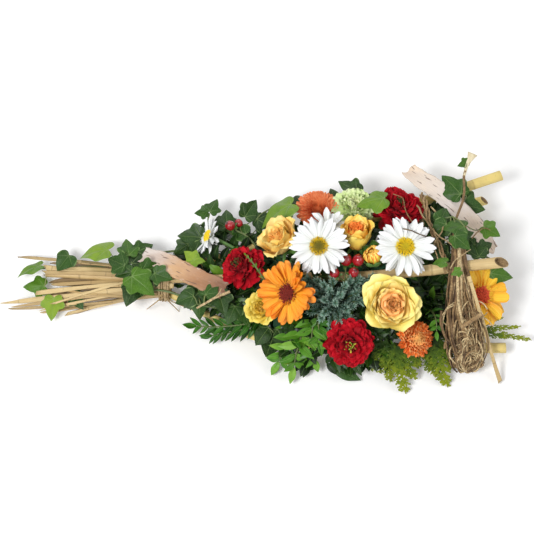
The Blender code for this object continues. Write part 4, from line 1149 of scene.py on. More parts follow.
# ---------------------------------------------------------------------------
# Box and hebe. Short glossy leaves in pairs on thin stems, pushed into the foam in
# front, at the left and at the back; the hebe's leaves are narrower and closer.

SPRIGS = (  # node, route, pairs, leaf length, tone, where the leaves begin
    ("boxwood_front", ((-50, -24, 30), (-53, -46, 48), (-58, -66, 54), (-64, -84, 38), (-67, -96, 24)),
     5, 30, 0.64, 0.25),
    ("boxwood_front", ((-58, -24, 30), (-60, -46, 40), (-70, -66, 48), (-80, -80, 34), (-86, -88, 22)),
     5, 29, 0.58, 0.3),
    ("boxwood_low", ((-30, -20, 34), (-31, -24, 66), (-37, -38, 79), (-36, -58, 71), (-34, -74, 58)),
     6, 25, 0.34, 0.2),
    ("boxwood_low", ((-36, -20, 34), (-40, -44, 66), (-44, -62, 66), (-44, -78, 48), (-40, -88, 30)),
     5, 27, 0.60, 0.3),
    ("boxwood_mid", ((84, -20, 34), (98, -25, 46), (107, -36, 68), (111, -52, 80), (112, -66, 74)),
     6, 17, 0.42, 0.2),
    ("boxwood_back", ((-20, 26, 28), (-22, 46, 32), (-24, 70, 32), (-26, 92, 31), (-30, 122, 24)),
     6, 19, 0.36, 0.4),
    ("hebe_left", ((-76, -20, 28), (-97, -24, 33), (-122, -40, 38), (-160, -44, 34), (-192, -38, 20)),
     12, 27, 0.26, 0.10),
    ("hebe_left", ((-76, -20, 26), (-100, -30, 30), (-124, -44, 32), (-150, -50, 28), (-172, -50, 18)),
     10, 25, 0.20, 0.15),
    ("hebe_left", ((-96, -16, 78), (-106, -6, 104), (-117, 8, 113), (-127, 21, 112)),
     6, 7, 0.50, 0.15),
)
LOWEST_TIP = 0.006
HEBE_SHAPE = (0.50, 0.42)  # The leaf's width by its length, and how far it leans out from the stem
BOX_SHAPE = (0.74, 0.6)


def paired_spots(points, pairs, length, tone, first, chosen, narrow, lean):
    """Spots for leaves in pairs up a stem, and three at its tip."""
    ways = headings(points)
    spots = []
    for number in range(pairs):
        share = first + (1 - first) * (number + 0.4) / pairs
        spot = min(int(share * (len(points) - 1)), len(points) - 1)
        rise = square_to(ways[spot], Vector((chosen.uniform(-0.3, 0.3), -0.3, 1)))
        across = ways[spot].cross(rise)
        turn = chosen.uniform(-0.5, 0.5)
        across = across * math.cos(turn) + rise * math.sin(turn)
        size = length * (1 - 0.35 * number / pairs) * chosen.uniform(0.9, 1.1)
        for hand in (1, -1):
            heading = ways[spot] * (1 - lean) + across * hand * lean + Vector((0, 0, chosen.uniform(-0.1, 0.25)))
            spots.append((points[spot], heading, rise, (size, size * narrow, size), tone + chosen.uniform(-0.18, 0.2)))
    size = length * 0.75
    spots += [(points[-1], ways[-1] + Vector((0, 0, lift)), Vector((0, -0.3, 1)), (size, size * narrow, size),
               tone + 0.15) for lift in (-0.25, 0.1, 0.35)]
    clear = []
    for place, heading, rise, size, shade in spots:  # None digs into the table
        heading.normalize()
        heading.z = max(heading.z, (LOWEST_TIP - place.z) / size[0])
        clear.append((place, heading, rise, size, shade))
    return clear


for number, (node, route, pairs, length, tone, first) in enumerate(SPRIGS):
    chosen = random.Random(number)
    points = smooth(mm(route), 10)
    name = f"{node}_{number}"
    shape = HEBE_SHAPE if node == "hebe_left" else BOX_SHAPE
    strands(name + "_stem", [(points, (0.0016, 0.0008), 0.3)], stalk_green, "boxwood_leaf", node, seed=number)
    sow(name + "_leaves", paired_spots(points, pairs, length * 0.001, tone, first, chosen, *shape), plain_leaves,
        plane_green, "boxwood_leaf", node, ruffle=0.002, seed=number)

# ---------------------------------------------------------------------------
# Thuja. Flat sprays of scale leaves that branch again and again in one plane, from
# stems pushed into the front and the right of the foam, and one at the back.


def spray(name, sides, seed):
    """A flat spray 1 long: a midrib with side shoots that carry smaller ones, all of diamond scales."""
    chosen = random.Random(seed)
    verts, faces, uvs = [], [], []

    def shoot(start, heading, length, width):
        count = max(3, int(length / (width * 1.15)))
        across = Vector((-heading.y, heading.x, 0))
        for step in range(count):
            at = start + heading * length * step / count
            size = width * (1.05 - 0.6 * step / count)
            reach = heading * length / count * 1.7
            lift = Vector((0, 0, width * 0.35))
            a = len(verts)
            verts.extend((at, at + reach * 0.55 + across * size, at + reach + lift * 0.4,
                          at + reach * 0.55 - across * size, at + reach * 0.5 + lift))
            ripe = 0.25 * step / count + 0.75 * at.x
            uvs.extend((u, ripe) for u in (0.5, 0.0, 0.5, 1.0, 0.5))
            faces.extend((a + i, a + (i + 1) % 4, a + 4) for i in range(3))
            faces.append((a + 3, a, a + 4))

    shoot(Vector((0, 0, 0)), Vector((1, 0, 0)), 0.97, 0.030)
    for number in range(sides):
        share = (number + 0.8) / (sides + 0.6)
        hand = 1 if number % 2 else -1
        length = (0.20 * (1 - share) ** 0.7 + 0.045) * chosen.uniform(0.65, 1.35)
        angle = math.radians(chosen.uniform(26, 44)) * hand
        heading = Vector((math.cos(angle), math.sin(angle), 0))
        start = Vector((min(0.95, share * 0.95 + chosen.uniform(-0.03, 0.03)), 0, 0))
        shoot(start, heading, length, 0.036)
        for twig in range(int(length / 0.07)):
            part = (twig + 0.7) / (length / 0.07)
            way = angle + math.radians(38) * (1 if twig % 2 else -1)
            shoot(start + heading * length * part, Vector((math.cos(way), math.sin(way), 0)),
                  length * (1 - part) * 0.4 + 0.035, 0.030)
    for vert in verts:
        vert.z += -0.10 * vert.x * vert.x - 0.25 * abs(vert.y) ** 1.5
    return mesh_object(name, verts, faces, uvs=uvs, smooth=False)


sprays = hidden_set("thuja_sprays", *(spray(f"thuja_spray_{n}", 20, n) for n in range(3)))
thuja_green, shader = material("thuja_green", Roughness=0.55, Specular_IOR_Level=0.2)
ripeness = along() + (attribute("tone") - 0.5) * 0.6 + (grain(coords(), 160, 3) - 0.5)
colour = graded(ripeness, (0.1, (0.014, 0.040, 0.002)), (0.45, (0.060, 0.110, 0.004)), (1.0, (0.24, 0.28, 0.010)))
feed(shader, Base_Color=mixed(fade(attribute("tone"), 0.0, 0.6, 0.60, 0.0), colour, (0.026, 0.055, 0.006)))

THUJA = (  # node, stem, how wide its sprays are by their length, and sprays as (from, to, tone)
    ("thuja_front", ((36, -24, 28), (38, -46, 36), (46, -72, 48), (54, -86, 50)), 1.1,
     (((60, -78, 58), (78, -128, 10), 0.85), ((50, -78, 56), (58, -114, 11), 0.75),
      ((42, -74, 56), (44, -104, 16), 0.6), ((64, -78, 58), (90, -112, 16), 0.6),
      ((68, -76, 60), (97, -98, 26), 0.45), ((44, -68, 60), (24, -94, 28), 0.3),
      ((60, -74, 58), (71, -108, 26), 0.35), ((50, -70, 58), (50, -100, 26), 0.3),
      ((36, -66, 56), (32, -102, 22), 0.4))),
    ("thuja_front_right", ((72, -24, 28), (75, -46, 33), (95, -70, 38), (106, -80, 44)), 1.1,
     (((110, -76, 56), (132, -119, 7), 0.9), ((104, -74, 54), (113, -100, 16), 0.65),
      ((112, -72, 58), (141, -98, 22), 0.5), ((104, -76, 52), (122, -110, 12), 0.7),
      ((98, -68, 54), (92, -98, 22), 0.35), ((112, -64, 62), (134, -88, 42), 0.3),
      ((104, -68, 58), (107, -104, 20), 0.4))),
    ("thuja_right", ((74, -16, 26), (98, -20, 34), (150, -40, 42), (172, -54, 48)), 0.42,
     (((170, -57, 48), (242, -59, 26), 0.95), ((172, -54, 50), (228, -45, 36), 0.95),
      ((170, -52, 54), (203, -38, 52), 0.95))),
    ("thuja_back", ((52, 26, 28), (54, 46, 32), (60, 80, 33), (66, 108, 32)), 1.1,
     (((60, 96, 36), (76, 146, 16), 0.4), ((56, 92, 36), (48, 140, 18), 0.3), ((64, 90, 40), (98, 134, 22), 0.35))),
)
for number, (node, route, wide, places) in enumerate(THUJA):
    strands(node + "_stem", [(smooth(mm(route), 6), (0.0016, 0.0009), 0.2)], stalk_green, "thuja_leaf", node)
    spots = []
    for *span, tone in places:
        start, end = mm(span)
        length = (end - start).length * 1.04
        facing = (0.1 * math.sin(end.x * 900), -0.45, 1)
        spots.append((start, end - start, facing, (length, length * wide, length), tone))
    sow(node + "_sprays", spots, sprays, thuja_green, "thuja_leaf", node, ruffle=0.004, ruffle_scale=30, seed=number)

# ---------------------------------------------------------------------------
# Juniper. A tuft of shoots, each thickly set with short sharp blue-green needles
# that point forwards, paler towards their tips.

juniper_green, shader = material("juniper_green", Roughness=0.55)
colour = graded(along(), (0.0, (0.03, 0.09, 0.06)), (0.45, (0.16, 0.32, 0.23)), (1.0, (0.46, 0.64, 0.53)))
feed(shader, Base_Color=mixed(fade(attribute("tone"), 0.0, 0.62, 0.95, 0.0), colour, (0.009, 0.045, 0.026)))
needles = hidden_set("needles", bead("needle_wide", 0.4, 3),
                     petal("needle_flat", (0.5, 0.5, 0.3, 0.05), rows=3, columns=2, cup=0.5, curl=0.3))
JUNIPER_HEART = Vector((-0.014, -0.028, 0.084))
JUNIPER_TIPS = mm((
    (-62, -12, 104), (-58, -40, 94), (-22, -64, 82), (12, -62, 82), (28, -20, 98), (-64, -28, 90), (-54, -19, 108),
    (-47, -38, 100), (-31, -52, 98), (-12, -60, 94), (6, -42, 98), (19, -20, 104), (32, -2, 104), (22, -36, 98),
    (-4, -22, 118), (-24, -28, 117), (-40, -12, 113), (-42, -26, 109), (-16, -42, 110), (4, -12, 114), (-52, -6, 106),
    (-30, -38, 110), (12, -28, 108), (-20, -12, 116), (-34, -54, 86), (2, -56, 88), (-48, -46, 86), (-10, -34, 116),
    (-32, -20, 117), (16, -8, 110), (-2, -48, 102), (-60, -28, 98)))
NEEDLES = 130
chosen = random.Random(5)
routes, spots = [], []
for tip in JUNIPER_TIPS:
    start = JUNIPER_HEART.lerp(tip, 0.25) - Vector((0, 0, 0.012))
    middle = start.lerp(tip, 0.5) + Vector((0, 0, 0.004))
    points = smooth([start, middle, tip], 14)
    routes.append((points, (0.0011, 0.0005), 0.3))
    ways = headings(points)
    tone = chosen.uniform(0.55, 1.0)
    for number in range(NEEDLES):
        share = (number + chosen.random()) / NEEDLES
        spot = min(int(share * (len(points) - 1)), len(points) - 1)
        side = square_to(ways[spot], Vector([chosen.uniform(-1, 1) for _ in range(3)]))
        heading = ways[spot] * chosen.uniform(0.7, 1.4) + side
        length = chosen.uniform(0.0075, 0.0110) * (1 - 0.25 * share)
        # Needles nearer the inner end of a shoot, deep in the tuft, get a lower tone, which the finish paints dark:
        # painted shade
        spots.append((points[spot], heading, ways[spot], (length, 0.0012, 0.0012), tone * (0.20 + 0.80 * share)))
routes.append((mm(((-14, -20, 34), (-15, -24, 66), (-16, -30, 88), (-14, -34, 98))), (0.0018, 0.0018), 0.1))
strands("juniper_twigs", routes, stalk_green, "juniper_leaf", "juniper_sprig")
sow("juniper_needles", spots, needles, juniper_green, "juniper_leaf", "juniper_sprig", seed=4)

# ---------------------------------------------------------------------------
# Berries. Glossy crimson hypericum berries, pointed, each in a cup of five small
# sepals on a short stalk.

berry_red, shader = material("berry_red", Roughness=0.18, Coat_Weight=0.4, Coat_Roughness=0.08)
feed(shader, Base_Color=graded(along() + (grain(coords(), 130, 3, 0.5) - 0.5) * 0.5, (0.0, (0.30, 0.10, 0.02)),
                               (0.18, (0.46, 0.012, 0.018)), (0.85, (0.34, 0.004, 0.012)), (1.0, (0.08, 0.002, 0.004))))
BERRY_RINGS = 13
BERRY_SIDES = 18


def berry(name, at, radius):
    """A round berry on +Z, drawn out towards its tip."""
    rings = []
    for step in range(BERRY_RINGS):
        turn = math.pi * (step + 0.35) / BERRY_RINGS
        wide = radius * math.sin(turn) ** 0.9
        height = -radius * math.cos(turn) * (1.12 if step > BERRY_RINGS // 2 else 1.0)
        rings.append([at @ Vector((wide * c, wide * s, height)) for c, s in turns(BERRY_SIDES)])
    uvs = [(i / BERRY_SIDES, step / (BERRY_RINGS - 1)) for step in range(BERRY_RINGS) for i in range(BERRY_SIDES)]
    return mesh_object(name, *loft(rings), berry_red, uvs=uvs)


for node, route, berries in (  # node, stem, and berries as (x, y, z, radius)
        ("hypericum_center", ((0, -14, 36), (0, -14, 66), (-2, -10, 92), (-3, -6, 104)),
         ((-2, 13, 116, 7.5), (13, 12, 118, 7.5), (-17, -6, 119, 6.2), (7, -3, 114, 6.5))),
        ("hypericum_left", ((-78, 28, 30), (-99, 45, 42), (-125, 72, 56), (-140, 80, 60)),
         ((-149, 84, 68, 6.5), (-138, 92, 58, 5.5)))):
    points = smooth(mm(route), 8)
    routes = [(points, (0.0016, 0.0011), 0.35)]
    for number, (*place, radius) in enumerate(berries):
        place, radius = Vector(place) * 0.001, radius * 0.001
        start = points[-4 - number]
        at = face_frame(place, (place - start).normalized() + Vector((0, -0.2, 0.35)))
        ride(berry(f"{node}_berry_{number}", at, radius), "berry_skin", node)
        base = at @ Vector((0, 0, -radius))
        bend = smooth([start, start.lerp(base, 0.5) + Vector((0, 0, -0.002)), base], 5)
        routes.append((bend, (0.0009, 0.0009), 0.5))
        whorl(f"{node}_cup_{number}", node, "berry_skin", at, sepals, stem_green, 5, radius * 0.25, -radius * 1.02,
              0.15, (radius * 1.1, radius * 0.8, radius * 0.6), loose=0.15, seed=number)
    strands(node + "_twigs", routes, stalk_green, "berry_skin", node)

# ---------------------------------------------------------------------------
# Tail. Split reeds, flat and sharp-edged, fan out behind the tie, with splinters
# between them; raffia is wound round them and the canes and knotted.

REED_FINISHES = (
    straw_finish("reed_straw", (0.60, 0.44, 0.21), (0.40, 0.27, 0.11), (0.16, 0.09, 0.04), 0.09, 0.02),
    straw_finish("reed_pale", (0.74, 0.58, 0.30), (0.55, 0.39, 0.17), (0.22, 0.13, 0.05), 0.12, 0.02),
    # This third finish is a darker copy, worn mostly by the reeds that lie low or under others: painted shade
    straw_finish("reed_weathered", (0.38, 0.27, 0.13), (0.24, 0.15, 0.07), (0.08, 0.045, 0.02), 0.10, 0.02),
)
# Points round a reed's section: place across, rise of its dish, and -1 for its underside or 1 for its face
REED_SECTION = ((-1, 0.2, -1), (-0.5, 0, -1), (0, -0.05, -1), (0.5, 0, -1), (1, 0.2, -1),
                (1, 0.25, 1), (0.5, 0.05, 1), (0, 0, 1), (-0.5, 0.05, 1), (-1, 0.25, 1))
REED_HALF_THICKNESS = 0.0008
TORN_END = 0.93


def reed(name, route, half_width, up, finish, node, seed):
    """A split length of reed: flat and slightly hollow across, uneven in width, with a torn end."""
    points = smooth(mm(route), 9)
    phase = random.Random(seed).uniform(0, 6)
    rings, uvs = [], []
    for number, (point, heading, run) in enumerate(zip(points, headings(points), runs(points))):
        rise = square_to(heading, Vector(up))
        across = heading.cross(rise)
        share = number / (len(points) - 1)
        wide = half_width * 0.001 * (1 + 0.16 * math.sin(run * 70 + phase))
        if share >= TORN_END and seed % 3 != 1:
            wide *= 1 - 0.7 * (share - TORN_END) / (1 - TORN_END)
        slant = heading * 0.004 * math.sin(phase) if share == 1 else Vector()
        rings.append([point + across * x * wide + rise * (z * wide * 0.7 + face * REED_HALF_THICKNESS)
                      + slant * (x + 0.3) for x, z, face in REED_SECTION])
        uvs += [((x + 1) / 2, run + seed * 0.37) for x, _, _ in REED_SECTION]
    ride(mesh_object(name, *loft(rings), finish, uvs=uvs), "split_reed", node)


REEDS = (  # name, route, half width, the way its face looks, finish
    ("reed_back", ((-222, 30, 43), (-250, 31, 43), (-330, 46, 32), (-430, 62, 18)), 3.0, (0, 0.55, 0.84), 0),
    ("reed_back_thick", ((-226, 28, 36), (-260, 30, 35), (-320, 35, 33), (-392, 40, 31)), 4.0, (0, 0.2, 0.9), 1),
    ("reed_back_low", ((-226, 28, 24), (-260, 34, 24), (-320, 46, 20), (-388, 54, 16)), 3.0, (0, 0.4, 0.9), 2),
    ("reed_back_split", ((-226, 24, 32), (-260, 25, 30), (-320, 30, 27), (-391, 33, 22)), 2.8, (0, 0.1, 0.9), 2),
    ("reed_back_lath", ((-226, 22, 42), (-262, 24, 42), (-330, 30, 36), (-392, 33, 32)), 2.4, (0, -0.1, 0.9), 0),
    ("reed_back_fill", ((-226, 20, 33), (-262, 23, 30), (-320, 26, 24), (-388, 26, 17)), 3.6, (0, 0, 1), 2),
    ("reed_back_under", ((-226, 26, 22), (-270, 34, 19), (-330, 40, 16), (-394, 48, 11)), 3.4, (0, 0.1, 1), 2),
    ("reed_long_fill", ((-226, 16, 30), (-262, 16, 27), (-325, 17, 20), (-396, 13, 13)), 3.6, (0, 0, 1), 2),
    ("reed_long", ((-222, 9.5, 43), (-250, 9, 42), (-330, 5, 30), (-449, -2, 11)), 2.8, (0, -0.55, 0.84), 1),
    ("reed_long_split", ((-226, 6, 38), (-262, 5, 36), (-340, 1, 25), (-437, -6, 8)), 2.0, (0, -0.4, 0.9), 0),
    ("reed_long_flat", ((-226, 14, 44), (-262, 13, 43), (-330, 12, 34), (-404, 7, 24)), 2.7, (0, -0.2, 0.95), 1),
    ("reed_long_mid", ((-226, 18, 38), (-262, 18, 36), (-320, 20, 30), (-383, 19, 24)), 2.7, (0, 0.1, 0.95), 0),
    ("reed_long_under", ((-226, 14, 26), (-262, 14, 24), (-320, 12, 18), (-396, 6, 12)), 3.0, (0, 0, 1), 2),
    ("reed_long_fine", ((-226, 20, 45), (-270, 17, 45), (-330, 4, 36), (-380, -8, 24)), 1.3, (0, -0.2, 1), 1),
    ("reed_side", ((-228, 0.8, 30), (-250, 0.4, 29), (-330, -6, 20), (-438, -9, 9)), 2.4, (0, -1, 0.05), 0),
    ("reed_side_thin", ((-240, 2, 34), (-290, 2, 32), (-340, -4, 24), (-400, -12, 10)), 1.5, (0, -0.4, 0.9), 1),
    ("reed_side_wide", ((-240, 5, 31), (-290, 3, 26), (-335, 0, 19), (-376, -2, 12)), 2.6, (0, -0.2, 0.95), 2),
    ("reed_side_cross", ((-236, -1, 36), (-280, -2, 34), (-330, 3, 30), (-368, 10, 27)), 1.4, (0, 0.1, 0.95), 0),
    ("reed_low", ((-222, 12, 8.3), (-250, 10, 8.4), (-320, -1, 8), (-395, -13, 5.5)), 2.9, (0, 0.38, 0.93), 0),
    ("reed_low_split", ((-240, 6, 30), (-280, 0, 24), (-325, -8, 14), (-366, -15, 5)), 2.0, (0, -0.3, 0.95), 1),
    ("reed_short", ((-222, 26, 7.8), (-250, 20, 6.0), (-310, 3, 3.4), (-362, -14, 2.6)), 2.4, (0, -0.25, 0.97), 2),
    ("reed_short_chip", ((-236, 20, 12), (-280, 16, 12), (-330, 22, 12), (-378, 26, 10)), 2.4, (0, 0.1, 0.97), 2),
)
for number, (name, route, half_width, up, look) in enumerate(REEDS):
    reed(name, route, half_width, up, REED_FINISHES[look], "tail_reed_" + name.split("_")[1], number)
reed("loose_reed_strip", ((150, -9, 116), (160, -32, 98), (175, -62, 62), (190, -92, 26), (199, -109, 7)), 2.4,
     (0.2, -0.6, 0.8), REED_FINISHES[1], "loose_reed", 40)

raffia_tan, shader = material("raffia_tan", Roughness=0.75)
fibres = grain(coords(), 500, 4, 0.7, (0.4, 1, 1))
colour = graded(fibres, (0.3, (0.22, 0.14, 0.06)), (0.7, (0.62, 0.47, 0.26)))
feed(shader, Base_Color=mixed(attribute("tone") * 0.4, colour, (0.40, 0.27, 0.13)),
     Normal=relief(fibres, 0.5, 0.0005))
TIE_CENTRE = Vector((-0.235, 0.020, 0.0268))
TIE_RADIUS = 0.0230
WINDINGS = 9
WINDING_GAP = 0.00165
WINDING_STEPS = 36
chosen = random.Random(12)
routes = []
for number in range(WINDINGS):
    shift = (number - 4) * WINDING_GAP
    lean = chosen.uniform(-0.08, 0.08)
    ring = []
    for i in range(WINDING_STEPS + 1):
        turn = 2 * math.pi * i / WINDING_STEPS
        radius = TIE_RADIUS + chosen.uniform(-0.0001, 0.0001) + 0.0006 * math.sin(turn * 3 + number)
        ring.append(TIE_CENTRE + Vector((shift + lean * 0.02 * math.cos(turn), radius * math.cos(turn),
                                         radius * math.sin(turn))))
    routes.append((ring, (0.00105, 0.00105), chosen.random()))
knot = TIE_CENTRE + Vector((0, -0.0235, 0.004))
for reach, drop in ((0.030, 0.018), (-0.024, 0.022), (0.018, 0.030)):
    bend = (knot + Vector((0, 0.002, 0.002)), knot + Vector((reach * 0.4, -0.006, 0.003)),
            knot + Vector((reach, -0.006, -drop)))
    routes.append((smooth(bend, 8), (0.0011, 0.0006), chosen.random()))
strands("raffia_windings", routes, raffia_tan, "raffia", "raffia_tie", waviness=0.0006, wave_scale=150)

# ---------------------------------------------------------------------------
# Vine. A hank of dry honeysuckle vine hangs over the top cane at the horn's mouth and
# spreads to the table, full of loops and cut ends; single stems of it twine at the back.

given, result = group("vine_bark", "Shader", "Colour, Height", Color="Dark, Middle, Pale")
shreds = grain(coords(), 420, 5, 0.75, (1, 1, 0.5))
colour = graded(attribute("tone") + (grain(coords(), 70, 3) - 0.5) * 0.9, (0.0, given["Dark"]),
                (0.5, given["Middle"]), (1.0, given["Pale"]))
feed(result, mixed(fade(shreds, 0.35, 0.6, 0.75, 0.0), colour, given["Dark"]), shreds)
VINE_BARK = net  # Brown by its tone, with shreds of bark along it


def vine_finish(name, *colours):
    return dressed(material(name, Roughness=0.8), VINE_BARK, (0.6, 0.0008), *colours)


vine_brown = vine_finish("vine_brown", (0.05, 0.024, 0.010), (0.40, 0.25, 0.11), (0.80, 0.62, 0.34))
# vine_shade is near black: painted shade, for the core of the hank
vine_shade = vine_finish("vine_shade", (0.010, 0.006, 0.003), (0.035, 0.02, 0.01), (0.09, 0.06, 0.03))
cut_wood, shader = material("cut_wood", Roughness=0.7)
feed(shader, Base_Color=graded(grain(coords(), 600, 3), (0.3, (0.52, 0.36, 0.18)), (0.7, (0.84, 0.70, 0.46))))

# Stations of the hank, from behind the top cane down to the table: its middle, and half its width and depth
HANK = ((143, 62, 116, 6, 3), (140, 38, 121, 6.5, 4), (138, 14, 121, 7.5, 5), (138, -9, 112, 11, 6),
        (139, -30, 95, 17, 8), (144, -53, 75, 22, 10), (151, -73, 52, 24, 12), (154, -88, 27, 18, 10),
        (155, -96, 12, 11, 6))
centres = smooth(mm(station[:3] for station in HANK), 8)
shapes = smooth(mm((*station[3:], 0) for station in HANK), 8)
ways = headings(centres)
rises = [square_to(way, Vector((0.15, -0.5, 1))) for way in ways]


def within(value, limit):
    return max(-limit, min(limit, value))


def in_hank(share, a, b):
    """A point in the hank: how far along it, and how far across and up in its section."""
    spot = min(max(share, 0.0), 0.9999) * (len(centres) - 1)
    low = int(spot)
    high = low + 1
    part = spot - low
    centre, shape = centres[low].lerp(centres[high], part), shapes[low].lerp(shapes[high], part)
    rise = rises[low].lerp(rises[high], part).normalized()
    return centre + ways[low].cross(rise) * a * shape.x + rise * b * shape.y


LONG_STRANDS = 130
STRAND_STEPS = 14
LOOPS = 58
LOOP_STEPS = 20
REACH_LIMIT = 1.15  # No long strand reaches further than this across the section or up
DEPTH_LIMIT = 1.0  # Nor further than this down
chosen = random.Random(21)
routes = []
for number in range(LONG_STRANDS):
    turn, reach = chosen.uniform(0, 2 * math.pi), math.sqrt(chosen.random())
    a, b = reach * math.cos(turn), reach * math.sin(turn)
    b = abs(b) if number % 2 else b
    first, last = chosen.choice((0.0, 0.0, 0.0, 0.08, 0.2, 0.4)), chosen.uniform(0.66, 0.98)
    drift, lift, sway = chosen.uniform(-0.9, 0.9), chosen.uniform(-0.5, 0.4), chosen.uniform(0.05, 0.50)
    points = []
    for step in range(STRAND_STEPS + 1):
        share = first + (last - first) * step / STRAND_STEPS
        across = a + drift * (share - 0.4) + sway * math.sin(share * 8 + turn * 3)
        up = b + lift * share + 0.25 * math.sin(share * 11 + number)
        points.append(in_hank(share, within(across, REACH_LIMIT), max(within(up, REACH_LIMIT), -DEPTH_LIMIT)))
    thick = chosen.choice((0.0005, 0.0007, 0.0009, 0.0012, 0.0016, 0.0024))
    tone = chosen.choice((0.1, 0.3, 0.55, 0.75, 0.95)) + chosen.uniform(-0.1, 0.1)
    shade = (1.0 if b > 0.0 else 0.35) * (0.5 if a > 0.2 else 1.0)  # Painted shade: darker underneath and to the left
    routes.append((smooth(points, 3), (thick, thick * 0.7), tone * shade))
for number in range(LOOPS):
    nest = number % 2  # Every other loop lies in a nest low down
    (left, right), (first, last) = ((-0.25, 0.35), (0.74, 0.86)) if nest else ((-0.9, 0.7), (0.55, 0.93))
    a, share = chosen.uniform(left, right), chosen.uniform(first, last)
    wide, stretch, start = chosen.uniform(0.3, 0.85), chosen.uniform(0.05, 0.12), chosen.uniform(0, 6.28)
    swing = chosen.uniform(3.5, 6.5)
    loop = []
    for step in range(LOOP_STEPS + 1):
        turn = start + swing * step / LOOP_STEPS
        loop.append(in_hank(share + stretch * math.sin(turn), a + wide * math.cos(turn),
                            0.80 + 0.15 * nest + 0.35 * math.sin(step * 0.5 + start)))
    thick = chosen.choice((0.0006, 0.0009, 0.0012, 0.0016))
    routes.append((loop, (thick, thick * 0.7), chosen.choice((0.25, 0.6, 0.9, 1.0))))
strands("vine_hank", routes, vine_brown, "vine", "vine_bundle", waviness=0.0048)
# A dark core inside the hank, in near-black bark: painted shade where the strands keep out the light
heart = [[centre + way.cross(rise) * c * shape.x * 0.72 + rise * (s * 0.62 - 0.15) * shape.y for c, s in turns(14)]
         for centre, shape, way, rise in zip(centres, shapes, ways, rises)]
ride(mesh_object("vine_hank_heart", *loft(heart), vine_shade), "vine", "vine_bundle")

STUB_SIDES = 10
for name, *span, radius, finish in (  # Short cut lengths of stem, with a pale end: name, from, to, radius, finish
        ("vine_stub_long", (143, -64, 86), (167, -52, 98), 0.0026, vine_brown),
        ("vine_stub_upper", (139, -75, 64), (144, -82, 59), 0.0030, cut_wood),
        ("vine_stub_lower", (146, -81, 59), (151, -88, 52), 0.0028, cut_wood)):
    start, end = mm(span)
    points = [start.lerp(end, i / 6) for i in range(7)]
    strands(name, [(points, (radius * 1.05, radius), 0.55)], finish, "vine", "vine_bundle", sides=STUB_SIDES,
            waviness=0.0008, wave_scale=120)
    heading = (end - start).normalized()
    disc = tube_rings([end - heading * 0.0002, end + heading * 0.0004], [radius * 0.98, radius * 0.9], STUB_SIDES)
    ride(mesh_object(name + "_cut", *loft(disc), cut_wood, smooth=False), "vine", "vine_bundle")

TWINED = 3
TWINE_TURNS = 2.2
TWINE_RADIUS = 0.0022
chosen = random.Random(33)
grey = smooth(mm(((101, 122, 84), (103, 100, 100), (106, 62, 113), (118, 22, 120), (122, -6, 118))), 8)
routes = []
for strand in range(TWINED):  # Stems that twist round each other
    route = []
    for number, (point, way) in enumerate(zip(grey, headings(grey))):
        side = square_to(way, Vector((0.2, 0.1, 1)))
        turn = 2 * math.pi * (TWINE_TURNS * number / (len(grey) - 1) + strand / TWINED)
        route.append(point + (side * math.cos(turn) + way.cross(side) * math.sin(turn)) * TWINE_RADIUS)
    routes.append((route, (0.0015, 0.0010), chosen.uniform(0.3, 0.7)))
for route, thick, tone in (
        (((67, 40, 150), (78, 38, 149), (90, 36, 143), (103, 34, 134), (114, 24, 124)), 0.0009, 0.15),
        (((92, 96, 104), (98, 72, 116), (112, 44, 126), (128, 30, 128), (139, 20, 130)), 0.0012, 0.6),
        (((110, 96, 98), (122, 74, 108), (120, 52, 122), (108, 30, 126), (112, 8, 126)), 0.0012, 0.75),
        (((158, 46, 110), (168, 58, 106), (177, 66, 98), (186, 66, 93)), 0.0009, 0.5),
        (((84, 66, 112), (76, 84, 110), (72, 98, 118), (60, 104, 118)), 0.0008, 0.5),
        (((126, -4, 128), (132, 6, 132), (142, 12, 134), (152, 20, 132)), 0.0008, 0.95)):
    routes.append((smooth(mm(route), 8), (thick, thick * 0.6), tone))
strands("grey_vine_stems", routes, vine_brown, "vine", "grey_vine", waviness=0.003, wave_scale=70)

pale_cream, shader = material("pale_cream", Roughness=0.5)
feed(shader, Base_Color=graded(grain(coords(), 200, stretch=(1, 0.4, 1)), (0.3, (0.62, 0.50, 0.28)),
                               (0.7, (0.88, 0.80, 0.58))))
tendril = smooth(mm(((137, 66, 112), (150, 100, 113), (153, 132, 112), (155, 141, 112))), 8)
strands("pale_tendril_stem", [(tendril, (0.0016, 0.0018), 0.35)], vine_brown, "vine", "pale_tendril", waviness=0.002)
flare = smooth(mm(((153, 134, 112), (157, 147, 112), (161, 156, 113), (166, 166, 113))), 5)
UP = Vector((0, 0, 1))
rings = []
for number, (point, way) in enumerate(zip(flare, headings(flare))):
    share = number / (len(flare) - 1)
    across, deep = 0.0019 + 0.0050 * share ** 3, 0.0016 - 0.0006 * share
    rings.append([point + way.cross(UP).normalized() * c * across + UP * s * deep for c, s in turns(10)])
ride(mesh_object("pale_tendril_flare", *loft(rings), pale_cream), "vine", "pale_tendril")

twig = smooth(mm(((-190, -32, 67), (-170, -24, 78), (-148, -15, 82))), 8)
spur = smooth([twig[9] + offset for offset in mm(((0, 0, 0), (6, 4, 6), (9, 10, 8)))], 4)
strands("bare_twig_stems", [(twig, (0.0014, 0.0019), 0.85), (spur, (0.0009, 0.0006), 0.7)], vine_brown, "vine",
        "bare_twig", waviness=0.002)
stub = smooth(mm(((76, 24, 36), (81, 27, 66), (94, 60, 78), (104, 106, 76))), 8)
strands("woody_stub_stem", [(stub, (0.0032, 0.0042), 0.75)], vine_brown, "vine", "woody_stub", sides=12,
        waviness=0.001)

# ---------------------------------------------------------------------------
# Birch bark. Two strips of bark peeled from the trunk, laid across the horn: thin,
# pink-white with short dark dashes in them, torn at their ends and lifting at the rims.

